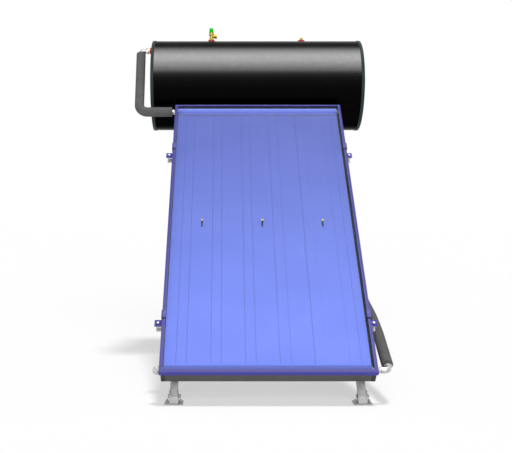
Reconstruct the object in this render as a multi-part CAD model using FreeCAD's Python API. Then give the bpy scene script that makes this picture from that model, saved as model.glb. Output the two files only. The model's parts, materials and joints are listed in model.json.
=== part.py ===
import FreeCAD, Part
import os
from math import atan2, cos, degrees, pi, radians, sin, sqrt, tan

# A thermosiphon solar water heater: a flat-plate collector on a 45 degree stand, with a
# horizontal storage tank above and behind its upper edge and two insulated pipes between them.
# Millimetres. X runs along the tank, Y from the collector's low edge towards the tank, Z up.
# The origin lies on the floor, at the centre of the four feet's anchor holes.

V = FreeCAD.Vector
X_AXIS = V(1, 0, 0)
Y_AXIS = V(0, 1, 0)
Z_AXIS = V(0, 0, 1)

# ---------------------------------------------------------------- driving dimensions
TILT = 45.0                  # collector slope above the floor, degrees
COLLECTOR_WIDTH = 1030.0
COLLECTOR_LENGTH = 1990.0
COLLECTOR_DEPTH = 80.0
FRONT_EDGE_Z = 162.0         # height of the front plane at the collector's low edge

PART_GAP = 0.3               # free play between parts that move or are slid together
FOOT_PITCH_Y = 1880.0        # front foot bolts to rear foot bolts
LEG_X = 447.0                # middle of each side frame from the centre line
LEG_WIDTH = 36.0             # leg section across X
LEG_DEPTH = 40.0             # leg section the other way
LEG_WALL = 2.5
ARM_WIDTH = 30.0             # tank arm and strut section across X, bolted inside the legs
ARM_DEPTH = 40.0
ARM_Z = 1375.0               # underside of the tank arms
FOOT_BOLT_Z = 34.0

TANK_RADIUS = 290.0
TANK_LENGTH = 1350.0
TANK_AXIS_Y = 713.6
TANK_AXIS_Z = 1725.0
JACKET_RADIUS = 246.0
VESSEL_RADIUS = 220.0

# Collector layers, as depths below the front plane
GLASS_FRONT = 4.0
GLASS_THICKNESS = 4.0
GASKET_LIP = 1.5
FRAME_WALL = 2.5
FRAME_FLANGE = 17.0          # width of the frame's front face
FRAME_HEIGHT = 27.0          # how far the frame reaches down the side
CASING_INSET = 7.0           # casing wall inside the frame's outer face
CASING_WALL = 1.2
CASING_BACK_FLANGE = 20.0
CASING_DRIP = 8.0            # low wall's drip edge, below the back
CASING_TAB = 16.0            # width of the corner tabs folded over the low wall
CASING_TAB_THICKNESS = 1.0
CASING_PORT_RADIUS = 13.0
FRAME_PORT_RADIUS = 17.5
FRAME_FILLET = 2.2
FRAME_TURN_IN = 2.0          # thickness of the frame's inward foot
CASING_TOP = GLASS_FRONT + GLASS_THICKNESS + 1.0
ABSORBER_DEPTH = 28.0
FOLD_LAP = 0.6               # the flat sheet runs this far into each fold
ABSORBER_THICKNESS = 0.8
ABSORBER_LEFT = -496.0
ABSORBER_RIGHT = 489.0
RISER_RADIUS = 4.0
RISER_WALL = 0.8
RISER_HOLE_RADIUS = 3.0
RISER_PLATE_HALF = 35.0
RISER_PLATE_THICKNESS = 0.6
RISER_PLATE_GAP = 30.0       # plate end from the header's axis
RISER_DEPTH = 33.0
RISER_PITCH = 164.0
RISER_COUNT = 6
HEADER_RADIUS = 11.0
HEADER_WALL = 1.0
HEADER_STUB = 17.0           # how far an open header end stands out of the frame
HEADER_BLIND = 2.0           # thickness of the blind header end
HEADER_DEPTH = 35.0
HEADER_INSET = 34.0          # header axis from the collector's end
HEADER_COVER_RADIUS = 22.0   # absorber's round fold over each header
INSULATION_DEPTH = 41.0
INSULATION_GROOVE = 16.5     # groove radius around each header
POST_X = 330.0
POST_STEM_RADIUS = 4.5
POST_GLASS_GAP = 0.2
POST_CLIP_THICKNESS = 1.2
POST_HEAD_RADIUS = 6.5
POST_HEAD = 4.0
POST_CLIP_HALF = 4.0
POST_CLIP_LENGTH = 34.0
BACK_THICKNESS = 0.8

# Cross rails and clamps
RAIL_SIZE = 41.0
RAIL_WALL = 2.5
RAIL_LIP = 9.0
RAIL_HALF_LENGTH = 550.0
RAIL_PLACES = [343.0, 1598.0]
CLAMP_WIDTH = 46.0
CLAMP_THICKNESS = 3.0
CLAMP_HOOK = 20.0
CLAMP_LUG_END = 557.0
CLAMP_LUG_WIDTH = 40.0
CLAMP_HOLE_X = 540.0

# Fasteners
M10 = {"radius": 5.0, "flats": 17.0, "head": 6.4, "nut": 8.0, "tail": 4.0}
M8 = {"radius": 4.0, "flats": 13.0, "head": 5.3, "nut": 6.5, "tail": 1.5}
BOLT_CLEARANCE = 0.5         # bolt to the edge of its hole
BOLT_THREAD_GAP = 0.05       # nut thread to screw thread

# Feet
FOOT_PLATE = 88.0
FOOT_PLATE_THICKNESS = 4.0
FOOT_EAR_THICKNESS = 3.0
FOOT_EAR_TOP = 64.0
FOOT_EAR_HALF = 22.0
FOOT_CORNER = 6.0
FOOT_WEB_IN = 25.2           # inner face of the bracket's web, from the pivot
FOOT_WEB_TOP = 38.0
LEG_END = 14.3               # leg's lower end, beyond its foot bolt
FOOT_GAP = 0.5               # leg side to ear
PIVOT_HOLE_RADIUS = 5.08     # running fit on the pivot bolt
ANCHOR_OFFSET = 32.0
ANCHOR_RADIUS = 6.0

# Stand
BEAM_HIGH = 1925.0
POST_ABOVE_ARM = 10.0
STRUT_DEPTH = 30.0
STRUT_BEAM_S = 900.0         # strut's bolt on the beam, from the collector's low edge
STRUT_POST_Z = 180.0
STRUT_OVERHANG = 25.0
ARM_FRONT_OVERHANG = 30.0
ARM_REAR_OVERHANG = 25.0
BRACE_LOW = 300.0
BRACE_HIGH = 1250.0
BRACE_WIDTH = 30.0
BRACE_THICKNESS = 4.0
BRACE_OVERHANG = 20.0
SADDLE_BOLT_Y = 110.0
SADDLE_SHEET = 3.0

# Inside the tank
JACKET_HALF = 560.0
JACKET_WALL = 2.0
VESSEL_HALF = 575.0
VESSEL_WALL = 2.5
DOME = 50.0
NECK_RADIUS = 60.0
NECK_WALL = 4.0
NECK_END = 638.0
FLANGE_RADIUS = 78.0
FLANGE_THICKNESS = 8.0
FLANGE_RING = 6.0            # thickness of the ring welded to the neck
FLANGE_GASKET = 2.0
FLANGE_BOLTS = 6
FLANGE_BOLT_CIRCLE = 69.0
ANODE_RADIUS = 13.0
ANODE_START = 190.0
ANODE_STUD = 12.0
COVER_SHEET = 1.2
COVER_SKIRT = 24.0
COVER_DISH = 6.0             # depth of the dish pressed in each end cover
FOAM_HALF = 649.0
FOAM_GAP = 1.5

# Tank fittings
NIPPLE_RADIUS = 10.5
NIPPLE_BORE = 8.0
POTABLE_RADIUS = 12.6
POTABLE_THREAD_RADIUS = 13.2 # three-quarter inch pipe thread
POTABLE_THREAD = 20.0
POTABLE_BORE = 10.0
POTABLE_X = 150.0
POTABLE_STUB = 40.0
COLD_DIP = 40.0              # the cold pipe ends this far above the vessel's floor
HOT_DIP = 30.0               # and the hot one this far below its roof
GASKET_RADIUS = 23.0
GASKET_HEIGHT = 12.0
GASKET_SHOULDER = 5.0
GASKET_FIT = 0.2             # play round the nipple and over the casing
FLOW_GASKET_HEIGHT = 18.0
PORT_RING_RADIUS = 15.5      # brass ring between the flow port's gasket and its elbow
PORT_RING = 6.5
FLOW_NIPPLE_INSET = 1.6
COVER_FACE_INSET = 1.7       # the left cover's flat lies this far behind the tank's end plane
PORT_END_LAP = 1.3           # the flow elbow starts this far inside its port ring's end
RELIEF_X = -294.0
VENT_X = 298.0
FLOW_PORT_Y = 620.6
FLOW_PORT_Z = 1938.0
RETURN_PORT_X = 520.0
CASING_SHEET = 1.0
COVER_RADIUS = 287.5
RIM_RADIUS = 292.5
RIM_WIDTH = 22.0
RIM_LIP = 270.0
SADDLE_RADIUS = 296.0
SADDLE_HALF_WIDTH = 30.0
SADDLE_HALF_LENGTH = 150.0
PAD_CLEARANCE = 0.3

# Relief valve, as heights above its base
SEAT = 13.0
BONNET = 47.0                # top of the valve body
BODY_FLANGE_RADIUS = 15.0
BODY_FLANGE = 8.0
BODY_WAIST_RADIUS = 12.0
BODY_COLLAR_RADIUS = 16.5
BODY_COLLAR = 31.0           # start of the collar under the cap
BODY_CONE = 3.0
BONNET_BEVEL = 2.0
BONNET_ROOF = 4.0            # brass left above the spring chamber
SEAT_STEP = 3.0
OUTLET = 24.0                # outlet axis
OUTLET_END = 36.0
OUTLET_BORE = 7.0
OUTLET_SOCKET = 15.0         # depth of the threaded outlet socket
OUTLET_SOCKET_RADIUS = 9.4
OUTLET_NECK_RADIUS = 11.0
OUTLET_COLLAR_RADIUS = 15.0
OUTLET_COLLAR_START = 20.0
CHAMBER_RADIUS = 9.5
INLET_BORE = 6.0
SEAT_RADIUS = 8.5
DISC_RADIUS = 7.6
DISC_THICKNESS = 3.0
SPINDLE_RADIUS = 3.0
SPINDLE_LIFT = 2.0
SPINDLE_CLEARANCE = 0.06
SPINDLE_HEAD_RADIUS = 5.0
SPINDLE_HEAD = 2.0
SPRING_COILS = 5
SPRING_RADIUS = 7.0
SPRING_WIRE = 0.9
CAP_GAP = 0.5
CAP_HEIGHT = 29.0
CAP_HUB = 8.0                # top of the cap's hub above the bonnet
CAP_FOOT_RADIUS = 15.2
CAP_SHOULDER_RADIUS = 12.0
CAP_BEVEL = 1.5
CAP_WALL = 2.0
CAP_ROOF = 4.0
CAP_HUB_RADIUS = 8.5
CAP_HEAD_GAP = 0.5           # play round the spindle's head inside the cap
CAP_FLUTES = 10
FLUTE_RADIUS = 2.0
FLUTE_FOOT = 16.7            # distance of a flute's axis from the cap's axis, at foot and top
FLUTE_TOP = 13.6
VENT_FLATS = 18.0
VENT_HEX = 11.0
VENT_DOME_RADIUS = 8.5
VENT_DOME = 3.0              # low enough for a straight pipe into the relief outlet
VENT_SPIGOT = 9.0            # how far the plug reaches down into its nipple

# Pipes between collector and tank
PIPE_RADIUS = 11.0
PIPE_BORE = 9.5
FLOW_SLEEVE_RADIUS = 29.5
RETURN_SLEEVE_RADIUS = 28.0
SLEEVE_CLEARANCE = 0.3
FLOW_TOP_X = -748.0          # the flow pipe leans in a little towards its lower bend
FLOW_FOOT_X = -740.0
RETURN_ELBOW_X = 569.0
UNION_FLATS = 28.0
UNION_COLLAR_RADIUS = 13.5
UNION_NUT_SHARE = 0.6
UNION_LENGTH = 16.0
ELBOW_RADIUS = 14.0
ELBOW_BEND = 26.0
ELBOW_LEG_FLOW = 48.0
ELBOW_LEG_RETURN = 50.0
FLOW_BEND = 52.0
FLOW_SLEEVE_LAP = 24.0       # how far each sleeve reaches over its elbow
RETURN_SLEEVE_LAP = 6.0
PIPE_START = 17.2            # gap from the collector's side to each pipe's end
RETURN_PORT_RUN = 120.0      # straight length of the return pipe under the tank
RETURN_ROUTE = [             # (x, up the slope, above the slope): the hand-bent run behind the collector
    (571, 355, 166),
    (566, 512, 238),
    (554, 716, 348),
    (543, 925, 440),
    (533, 1180, 520),
    (526, 1420, 568),
    (522, 1660, 578),
]
RETURN_SLEEVE_GAP = 12.0     # bare pipe between the return sleeve and the tank
MAX_BEND = 2500.0
BEND_SHARE = 0.45            # part of each straight that a bend may use
SEAL_GAP = 0.1               # play between parts that are screwed or pressed together
DRAIN_GAP = 4.0
DRAIN_FLATS = 36.0
DRAIN_HEX = 16.0
DRAIN_WASHER_RADIUS = 22.0
DRAIN_WASHER = 3.0
DRAIN_DOME_RADIUS = 15.0
DRAIN_DOME = 8.0

# ---------------------------------------------------------------- derived places
FRONT = COLLECTOR_WIDTH / 2
LEG_DEPTH_MID = COLLECTOR_DEPTH + RAIL_SIZE + LEG_DEPTH / 2
SLOPE = sin(radians(TILT))
FOOT_BOLT_S = LEG_DEPTH_MID + (FOOT_BOLT_Z - FRONT_EDGE_Z) / SLOPE
FRONT_EDGE_Y = -FOOT_PITCH_Y / 2 - (FOOT_BOLT_S + LEG_DEPTH_MID) * SLOPE
CASING_OUT = FRONT - CASING_INSET
CASING_IN = CASING_OUT - CASING_WALL
HEADERS = [HEADER_INSET, COLLECTOR_LENGTH - HEADER_INSET]
GROMMET_REACH = 17.5         # the grommet starts this far inside the casing wall
GROMMET_PROFILE = [          # (radius, distance along the header): spigot, inner lip, groove, outer lip
    (HEADER_RADIUS + SEAL_GAP, 0), (14.0, 0), (14.0, 10.3), (15.5, 10.3), (15.5, 16.2),
    (12.9, 16.2), (12.9, 17.6), (15.5, 17.6), (15.5, 20.8), (HEADER_RADIUS + SEAL_GAP, 20.8),
]
RISERS = [(i - (RISER_COUNT - 1) / 2) * RISER_PITCH for i in range(RISER_COUNT)]
ARM_X = LEG_X - LEG_WIDTH / 2 - ARM_WIDTH / 2
ARM_TOP = ARM_Z + ARM_DEPTH
ARM_MID = ARM_Z + ARM_DEPTH / 2
TANK_HALF = TANK_LENGTH / 2
TANK_TOP = TANK_AXIS_Z + TANK_RADIUS
TANK_BOTTOM = TANK_AXIS_Z - TANK_RADIUS
BEAM_LOW = FOOT_BOLT_S - LEG_END
BEAM_TOP_S = LEG_DEPTH_MID + (ARM_MID - FRONT_EDGE_Z) / SLOPE
POST_Y = FOOT_PITCH_Y / 2
POST_LOW = FOOT_BOLT_Z - LEG_END
POST_HIGH = ARM_TOP + POST_ABOVE_ARM
VALVE_BASE = TANK_TOP + GASKET_HEIGHT
ALL_PORTS = [(side, s) for side in (-1, 1) for s in HEADERS]
FEET = [("front_left_foot", -1, -1), ("front_right_foot", 1, -1),
        ("rear_left_foot", -1, 1), ("rear_right_foot", 1, 1)]

parts = {}


def keep(name, *shapes):
    """Add solids to a sub-part, which is one solid or a group of separate, like ones."""
    for shape in shapes:
        parts.setdefault(name, []).extend(shape.Solids)


# ---------------------------------------------------------------- building blocks
def box(x0, x1, y0, y1, z0, z1):
    """A block between two corners."""
    return Part.makeBox(x1 - x0, y1 - y0, z1 - z0, V(x0, y0, z0))


def slab(x0, x1, s0, s1, d0, d1):
    """A block in the collector's flat frame, from depth d0 to depth d1 below the front plane."""
    return box(x0, x1, s0, s1, -d1, -d0)


def rod(radius, start, direction, length):
    """A round bar from a start point along a direction."""
    return Part.makeCylinder(radius, length, start, direction)


def pipe(outer, inner, start, direction, length):
    """A straight round tube."""
    return rod(outer, start, direction, length).cut(rod(inner, start, direction, length))


def hexagon(flats, start, direction, height):
    """A hexagonal prism, such as a bolt head or a nut."""
    corner = flats / sqrt(3)
    ring = [V(corner * cos(radians(60 * i)), corner * sin(radians(60 * i)), 0) for i in range(7)]
    prism = Part.Face(Part.makePolygon(ring)).extrude(V(0, 0, height))
    prism.Placement = FreeCAD.Placement(start, FreeCAD.Rotation(Z_AXIS, direction))
    return prism


def extrusion(points, direction, length):
    """A closed outline pushed along a direction."""
    return Part.Face(Part.makePolygon(points + [points[0]])).extrude(direction * length)


def turned(profile, base, axis_turn=None):
    """A solid turned about Z from (radius, height) corners, then turned to an axis and placed."""
    points = [V(radius, 0, height) for radius, height in profile]
    solid = Part.Face(Part.makePolygon(points + [points[0]])).revolve(V(0, 0, 0), Z_AXIS, 360)
    if axis_turn:
        solid.Placement = FreeCAD.Placement(base, FreeCAD.Rotation(Z_AXIS, axis_turn))
    else:
        solid.translate(base)
    return solid


def on_slope(shape):
    """Turn a shape from the collector's flat frame to its place on the stand."""
    placed = shape.copy()
    placed.rotate(V(0, 0, 0), X_AXIS, TILT)
    placed.translate(V(0, FRONT_EDGE_Y, FRONT_EDGE_Z))
    return placed


def slope_point(x, s, depth):
    """The place on the stand of a point in the collector's flat frame."""
    return V(x, FRONT_EDGE_Y + (s + depth) * SLOPE, FRONT_EDGE_Z + (s - depth) * SLOPE)


def bolt(start, direction, grip, size=M10):
    """A hexagon bolt and its nut, clamping from start over a grip along a direction."""
    length = grip + size["nut"] + size["tail"]
    screw = hexagon(size["flats"], start - direction * size["head"], direction, size["head"])
    screw = screw.fuse(rod(size["radius"], start, direction, length))
    nut_start = start + direction * grip
    nut = hexagon(size["flats"], nut_start, direction, size["nut"])
    thread = rod(size["radius"] + BOLT_THREAD_GAP, nut_start, direction, size["nut"])
    return [screw, nut.cut(thread)]


def bolt_hole(start, direction, depth, size=M10):
    """The clearance hole for a bolt, a little longer than the walls it crosses."""
    return rod(size["radius"] + BOLT_CLEARANCE, start - direction, direction, depth + 2)


def rounded_path(points, radii):
    """Straight runs joined by tangent arcs, one radius for each inner point."""
    edges = []
    begin = points[0]
    for before, corner, after, radius in zip(points, points[1:], points[2:], radii):
        incoming = (corner - before).normalize()
        outgoing = (after - corner).normalize()
        half_turn = incoming.getAngle(outgoing) / 2
        setback = radius * tan(half_turn)
        inward = (outgoing - incoming).normalize()
        arc_start = corner - incoming * setback
        arc_end = corner + outgoing * setback
        middle = corner + inward * (radius / cos(half_turn) - radius)
        edges.append(Part.LineSegment(begin, arc_start).toShape())
        edges.append(Part.Arc(arc_start, middle, arc_end).toShape())
        begin = arc_end
    edges.append(Part.LineSegment(begin, points[-1]).toShape())
    return Part.Wire(edges)


def bent_rod(radius, points, radii):
    """A round bar that follows a rounded path."""
    path = rounded_path(points, radii)
    direction = (points[1] - points[0]).normalize()
    circle = Part.Wire(Part.makeCircle(radius, points[0], direction))
    solid = path.makePipeShell([circle], True, False)
    expected = pi * radius ** 2 * path.Length
    if abs(solid.Volume / expected - 1) > 0.01:
        print("bent rod volume is off by", solid.Volume / expected - 1)
    return solid


def bent_tube(outer, inner, points, radii):
    """A round tube that follows a rounded path."""
    return bent_rod(outer, points, radii).cut(bent_rod(inner, points, radii))


def hollow_bar(x0, x1, length, depth, wall):
    """A rectangular tube along +Y, centred on Y = 0 to length and Z = 0."""
    outer = box(x0, x1, 0, length, -depth / 2, depth / 2)
    return outer.cut(box(x0 + wall, x1 - wall, 0, length, -depth / 2 + wall, depth / 2 - wall))


# ---------------------------------------------------------------- collector
def lining(gap, d0, d1):
    """A sheet or slab that fills the casing from wall to wall, less a gap all round."""
    end = CASING_INSET + CASING_WALL + gap
    return slab(gap - CASING_IN, CASING_IN - gap, end, COLLECTOR_LENGTH - end, d0, d1)


def rectangle_ring(outer, inner, d0, d1):
    """A rectangular ring around the collector, given by its insets from the outer edges."""
    ring = slab(-FRONT + outer, FRONT - outer, outer, COLLECTOR_LENGTH - outer, d0, d1)
    hole = slab(-FRONT + inner, FRONT - inner, inner, COLLECTOR_LENGTH - inner, d0, d1)
    return ring.cut(hole)


def header_cuts(radius, places):
    """Round cuts through the side walls at the header ports, as (side, distance) pairs."""
    cuts = [rod(radius, V(0, s, -HEADER_DEPTH), X_AXIS * side, COLLECTOR_WIDTH) for side, s in places]
    return Part.makeCompound(cuts)


def make_casing():
    """The sheet tray: side walls, a front flange under the glass and a back flange."""
    walls = rectangle_ring(CASING_INSET, CASING_INSET + CASING_WALL, CASING_TOP, COLLECTOR_DEPTH)
    front = rectangle_ring(CASING_INSET, FRAME_FLANGE - 1, CASING_TOP, CASING_TOP + CASING_WALL)
    back = rectangle_ring(CASING_INSET, CASING_INSET + CASING_BACK_FLANGE,
                          COLLECTOR_DEPTH - CASING_WALL, COLLECTOR_DEPTH)
    low_wall = CASING_INSET + CASING_WALL
    drip = slab(-CASING_OUT, CASING_OUT, CASING_INSET, low_wall, COLLECTOR_DEPTH,
                COLLECTOR_DEPTH + CASING_DRIP)
    tabs = [slab(x, x + CASING_TAB, CASING_INSET - CASING_TAB_THICKNESS, CASING_INSET,
                 FRAME_HEIGHT + PART_GAP, COLLECTOR_DEPTH + CASING_DRIP)
            for x in (-CASING_OUT, CASING_OUT - CASING_TAB)]
    tray = walls.fuse([front, back, drip] + tabs).removeSplitter()
    keep("collector_casing", on_slope(tray.cut(header_cuts(CASING_PORT_RADIUS, ALL_PORTS))))

    back_depth = COLLECTOR_DEPTH - CASING_WALL
    sheet_front = back_depth - BACK_THICKNESS
    keep("collector_back_sheet", on_slope(lining(1.0, sheet_front, back_depth)))

    wool = lining(2.0, INSULATION_DEPTH, sheet_front)
    wool = wool.cut(header_cuts(INSULATION_GROOVE, ALL_PORTS))
    keep("collector_insulation", on_slope(wool))


def make_headers():
    """Copper headers, six risers and the grommets that seal them through the casing."""
    left, right = -FRONT - HEADER_STUB, FRONT + HEADER_STUB
    for s, end in ((HEADERS[0], right), (HEADERS[1], CASING_OUT - HEADER_BLIND)):
        start = V(left, s, -HEADER_DEPTH)
        tube = pipe(HEADER_RADIUS, HEADER_RADIUS - HEADER_WALL, start, X_AXIS, end - left)
        if end < FRONT:
            cap_start = V(end - HEADER_BLIND, s, -HEADER_DEPTH)
            tube = tube.fuse(rod(HEADER_RADIUS, cap_start, X_AXIS, HEADER_BLIND))
        for x in RISERS:
            tube = tube.cut(rod(RISER_HOLE_RADIUS, V(x, COLLECTOR_LENGTH / 2, -RISER_DEPTH),
                                Y_AXIS if s > COLLECTOR_LENGTH / 2 else -Y_AXIS,
                                COLLECTOR_LENGTH / 2 - HEADER_INSET))
        keep("header_tubes", on_slope(tube))

    risers = []
    for x in RISERS:
        start = V(x, HEADERS[0], -RISER_DEPTH)
        riser = pipe(RISER_RADIUS, RISER_RADIUS - RISER_WALL, start, Y_AXIS, HEADERS[1] - HEADERS[0])
        for s in HEADERS:
            riser = riser.cut(rod(HEADER_RADIUS + 0.05, V(x - 20, s, -HEADER_DEPTH), X_AXIS, 40))
        risers.append(on_slope(riser))
    keep("riser_tubes", *risers)

    grommets = []
    for side, s in ALL_PORTS:
        start = V(side * (CASING_OUT - GROMMET_REACH), s, -HEADER_DEPTH)
        grommets.append(on_slope(turned(GROMMET_PROFILE, start, X_AXIS * side)))
    keep("header_grommets", *grommets)


def make_absorber():
    """The blue absorber sheet, folded over both headers, and the plates that hold its risers."""
    width = ABSORBER_RIGHT - ABSORBER_LEFT
    fold_start = sqrt(HEADER_COVER_RADIUS ** 2 - (HEADER_DEPTH - ABSORBER_DEPTH) ** 2)
    sheet = slab(ABSORBER_LEFT, ABSORBER_RIGHT, HEADERS[0] + fold_start - FOLD_LAP,
                 HEADERS[1] - fold_start + FOLD_LAP, ABSORBER_DEPTH,
                 ABSORBER_DEPTH + ABSORBER_THICKNESS)
    for s, inward in ((HEADERS[0], 1), (HEADERS[1], -1)):
        axis = V(ABSORBER_LEFT, s, -HEADER_DEPTH)
        inner = HEADER_COVER_RADIUS - ABSORBER_THICKNESS
        fold = pipe(HEADER_COVER_RADIUS, inner, axis, X_AXIS, width)
        reach = HEADER_COVER_RADIUS + 1
        low, high = sorted((s, s + reach * inward))
        below = slab(ABSORBER_LEFT, ABSORBER_RIGHT, s - reach, s + reach, HEADER_DEPTH,
                     HEADER_DEPTH + reach)
        behind = slab(ABSORBER_LEFT, ABSORBER_RIGHT, low, high,
                      ABSORBER_DEPTH + ABSORBER_THICKNESS, HEADER_DEPTH + reach)
        sheet = sheet.cut(rod(inner, axis, X_AXIS, width)).fuse(fold.cut(below).cut(behind))
    keep("absorber_sheet", on_slope(sheet.removeSplitter()))

    plates = []
    top = ABSORBER_DEPTH + ABSORBER_THICKNESS
    start, end = HEADERS[0] + RISER_PLATE_GAP, HEADERS[1] - RISER_PLATE_GAP
    inner = RISER_RADIUS + PART_GAP
    outer = inner + RISER_PLATE_THICKNESS
    for x in RISERS:
        wings = slab(x - RISER_PLATE_HALF, x + RISER_PLATE_HALF, start, end, top,
                     top + RISER_PLATE_THICKNESS)
        trough = slab(x - outer, x + outer, start, end, top, RISER_DEPTH)
        trough = trough.fuse(rod(outer, V(x, start, -RISER_DEPTH), Y_AXIS, end - start))
        hollow = slab(x - inner, x + inner, start, end, top, RISER_DEPTH)
        hollow = hollow.fuse(rod(inner, V(x, start, -RISER_DEPTH), Y_AXIS, end - start))
        above = slab(x - outer - 1, x + outer + 1, start, end, top - 2, top)
        plates.append(on_slope(wings.fuse(trough).cut([hollow, above]).removeSplitter()))
    keep("riser_plates", *plates)


def make_glazing():
    """The glass, its rubber edge and the posts that keep it off the absorber."""
    edge = CASING_INSET + 3
    pane = slab(-FRONT + edge, FRONT - edge, edge, COLLECTOR_LENGTH - edge,
                GLASS_FRONT, GLASS_FRONT + GLASS_THICKNESS)
    keep("glass_pane", on_slope(pane))

    back = GLASS_FRONT + GLASS_THICKNESS
    upper = rectangle_ring(CASING_INSET, FRAME_FLANGE, GLASS_FRONT - GASKET_LIP, GLASS_FRONT)
    web = rectangle_ring(CASING_INSET, edge, GLASS_FRONT, back)
    lower = rectangle_ring(CASING_INSET, FRAME_FLANGE, back, CASING_TOP)
    keep("glass_gasket", on_slope(upper.fuse([web, lower]).removeSplitter()))

    posts = []
    middle = COLLECTOR_LENGTH / 2
    for x in (-POST_X, 0, POST_X):
        base = V(x, middle, -ABSORBER_DEPTH)
        stem = rod(POST_STEM_RADIUS, base, Z_AXIS, ABSORBER_DEPTH - back - POST_GLASS_GAP)
        head = rod(POST_HEAD_RADIUS, V(x, middle, -back - POST_HEAD - POST_GLASS_GAP), Z_AXIS, POST_HEAD)
        clip = slab(x - POST_CLIP_HALF, x + POST_CLIP_HALF, middle - POST_CLIP_LENGTH, middle,
                    ABSORBER_DEPTH - POST_CLIP_THICKNESS, ABSORBER_DEPTH)
        posts.append(on_slope(stem.fuse([head, clip]).removeSplitter()))
    keep("glass_support_posts", *posts)


def make_frame():
    """Four mitred aluminium profiles with a rounded front edge."""
    flange = rectangle_ring(0, FRAME_FLANGE, 0, FRAME_WALL)
    wall = rectangle_ring(0, FRAME_WALL, 0, FRAME_HEIGHT)
    foot = rectangle_ring(0, CASING_INSET, FRAME_HEIGHT - FRAME_TURN_IN, FRAME_HEIGHT)
    ring = flange.fuse([wall, foot]).removeSplitter()
    front_edges = [e for e in ring.Edges
                   if abs(e.BoundBox.ZMin) < 1e-6 and abs(e.BoundBox.ZMax) < 1e-6
                   and (e.BoundBox.XLength > COLLECTOR_WIDTH - 1
                        or e.BoundBox.YLength > COLLECTOR_LENGTH - 1)]
    ring = ring.makeFillet(FRAME_FILLET, front_edges)
    ring = ring.cut(header_cuts(FRAME_PORT_RADIUS, ALL_PORTS))
    low_meet, high_meet = V(0, FRONT, 0), V(0, COLLECTOR_LENGTH - FRONT, 0)
    low_left, low_right = V(-FRONT - 1, -1, 0), V(FRONT + 1, -1, 0)
    high_left = V(-FRONT - 1, COLLECTOR_LENGTH + 1, 0)
    high_right = V(FRONT + 1, COLLECTOR_LENGTH + 1, 0)
    wedges = {
        "frame_left": [low_left, low_meet, high_meet, high_left],
        "frame_right": [low_right, low_meet, high_meet, high_right],
        "frame_bottom": [low_left, low_right, low_meet],
        "frame_top": [high_left, high_right, high_meet],
    }
    for name, outline in wedges.items():
        wedge = extrusion(outline, -Z_AXIS, 2 * FRAME_HEIGHT)
        wedge.translate(Z_AXIS)
        keep(name, on_slope(ring.common(wedge)))


def make_clamps():
    """Z-shaped clamps that hook over the frame and bolt down to the rails."""
    clamps, bolts = [], []
    for s in RAIL_PLACES:
        for side in (-1, 1):
            half = CLAMP_WIDTH / 2
            lug_half = CLAMP_LUG_WIDTH / 2
            hook = slab(FRONT - CLAMP_HOOK, FRONT + CLAMP_THICKNESS, s - half, s + half,
                        -CLAMP_THICKNESS, 0)
            wall = slab(FRONT, FRONT + CLAMP_THICKNESS, s - half, s + half,
                        -CLAMP_THICKNESS, COLLECTOR_DEPTH)
            lug = slab(FRONT, CLAMP_LUG_END, s - lug_half, s + lug_half,
                       COLLECTOR_DEPTH - CLAMP_THICKNESS, COLLECTOR_DEPTH)
            hole_start = V(CLAMP_HOLE_X, s, -COLLECTOR_DEPTH + CLAMP_THICKNESS)
            clamp = hook.fuse([wall, lug]).removeSplitter()
            clamp = clamp.cut(bolt_hole(hole_start, -Z_AXIS, CLAMP_THICKNESS, M8))
            screws = bolt(hole_start, -Z_AXIS, CLAMP_THICKNESS + RAIL_WALL, M8)
            if side < 0:
                clamp = clamp.mirror(V(0, 0, 0), X_AXIS)
                screws = [piece.mirror(V(0, 0, 0), X_AXIS) for piece in screws]
            clamps.append(on_slope(clamp))
            bolts += [on_slope(piece) for piece in screws]
    keep("collector_clamps", *clamps)
    keep("clamp_bolts", *bolts)


# ---------------------------------------------------------------- stand
def make_rails():
    """Two lipped C rails across the legs, open towards the low edge."""
    front, back = COLLECTOR_DEPTH, COLLECTOR_DEPTH + RAIL_SIZE
    half = RAIL_SIZE / 2
    long = RAIL_HALF_LENGTH
    for s in RAIL_PLACES:
        outer = slab(-long, long, s - half, s + half, front, back)
        hollow = slab(-long, long, s - half + RAIL_WALL, s + half - RAIL_WALL,
                      front + RAIL_WALL, back - RAIL_WALL)
        mouth = slab(-long, long, s - half, s, front + RAIL_LIP, back - RAIL_LIP)
        rail = outer.cut(hollow).cut(mouth)
        for x in (-CLAMP_HOLE_X, CLAMP_HOLE_X):
            rail = rail.cut(bolt_hole(V(x, s, -front), -Z_AXIS, RAIL_WALL, M8))
        for x in (-LEG_X, LEG_X):
            rail = rail.cut(bolt_hole(V(x, s, -back + RAIL_WALL), -Z_AXIS, RAIL_WALL))
        keep("cross_rails", on_slope(rail))


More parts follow.
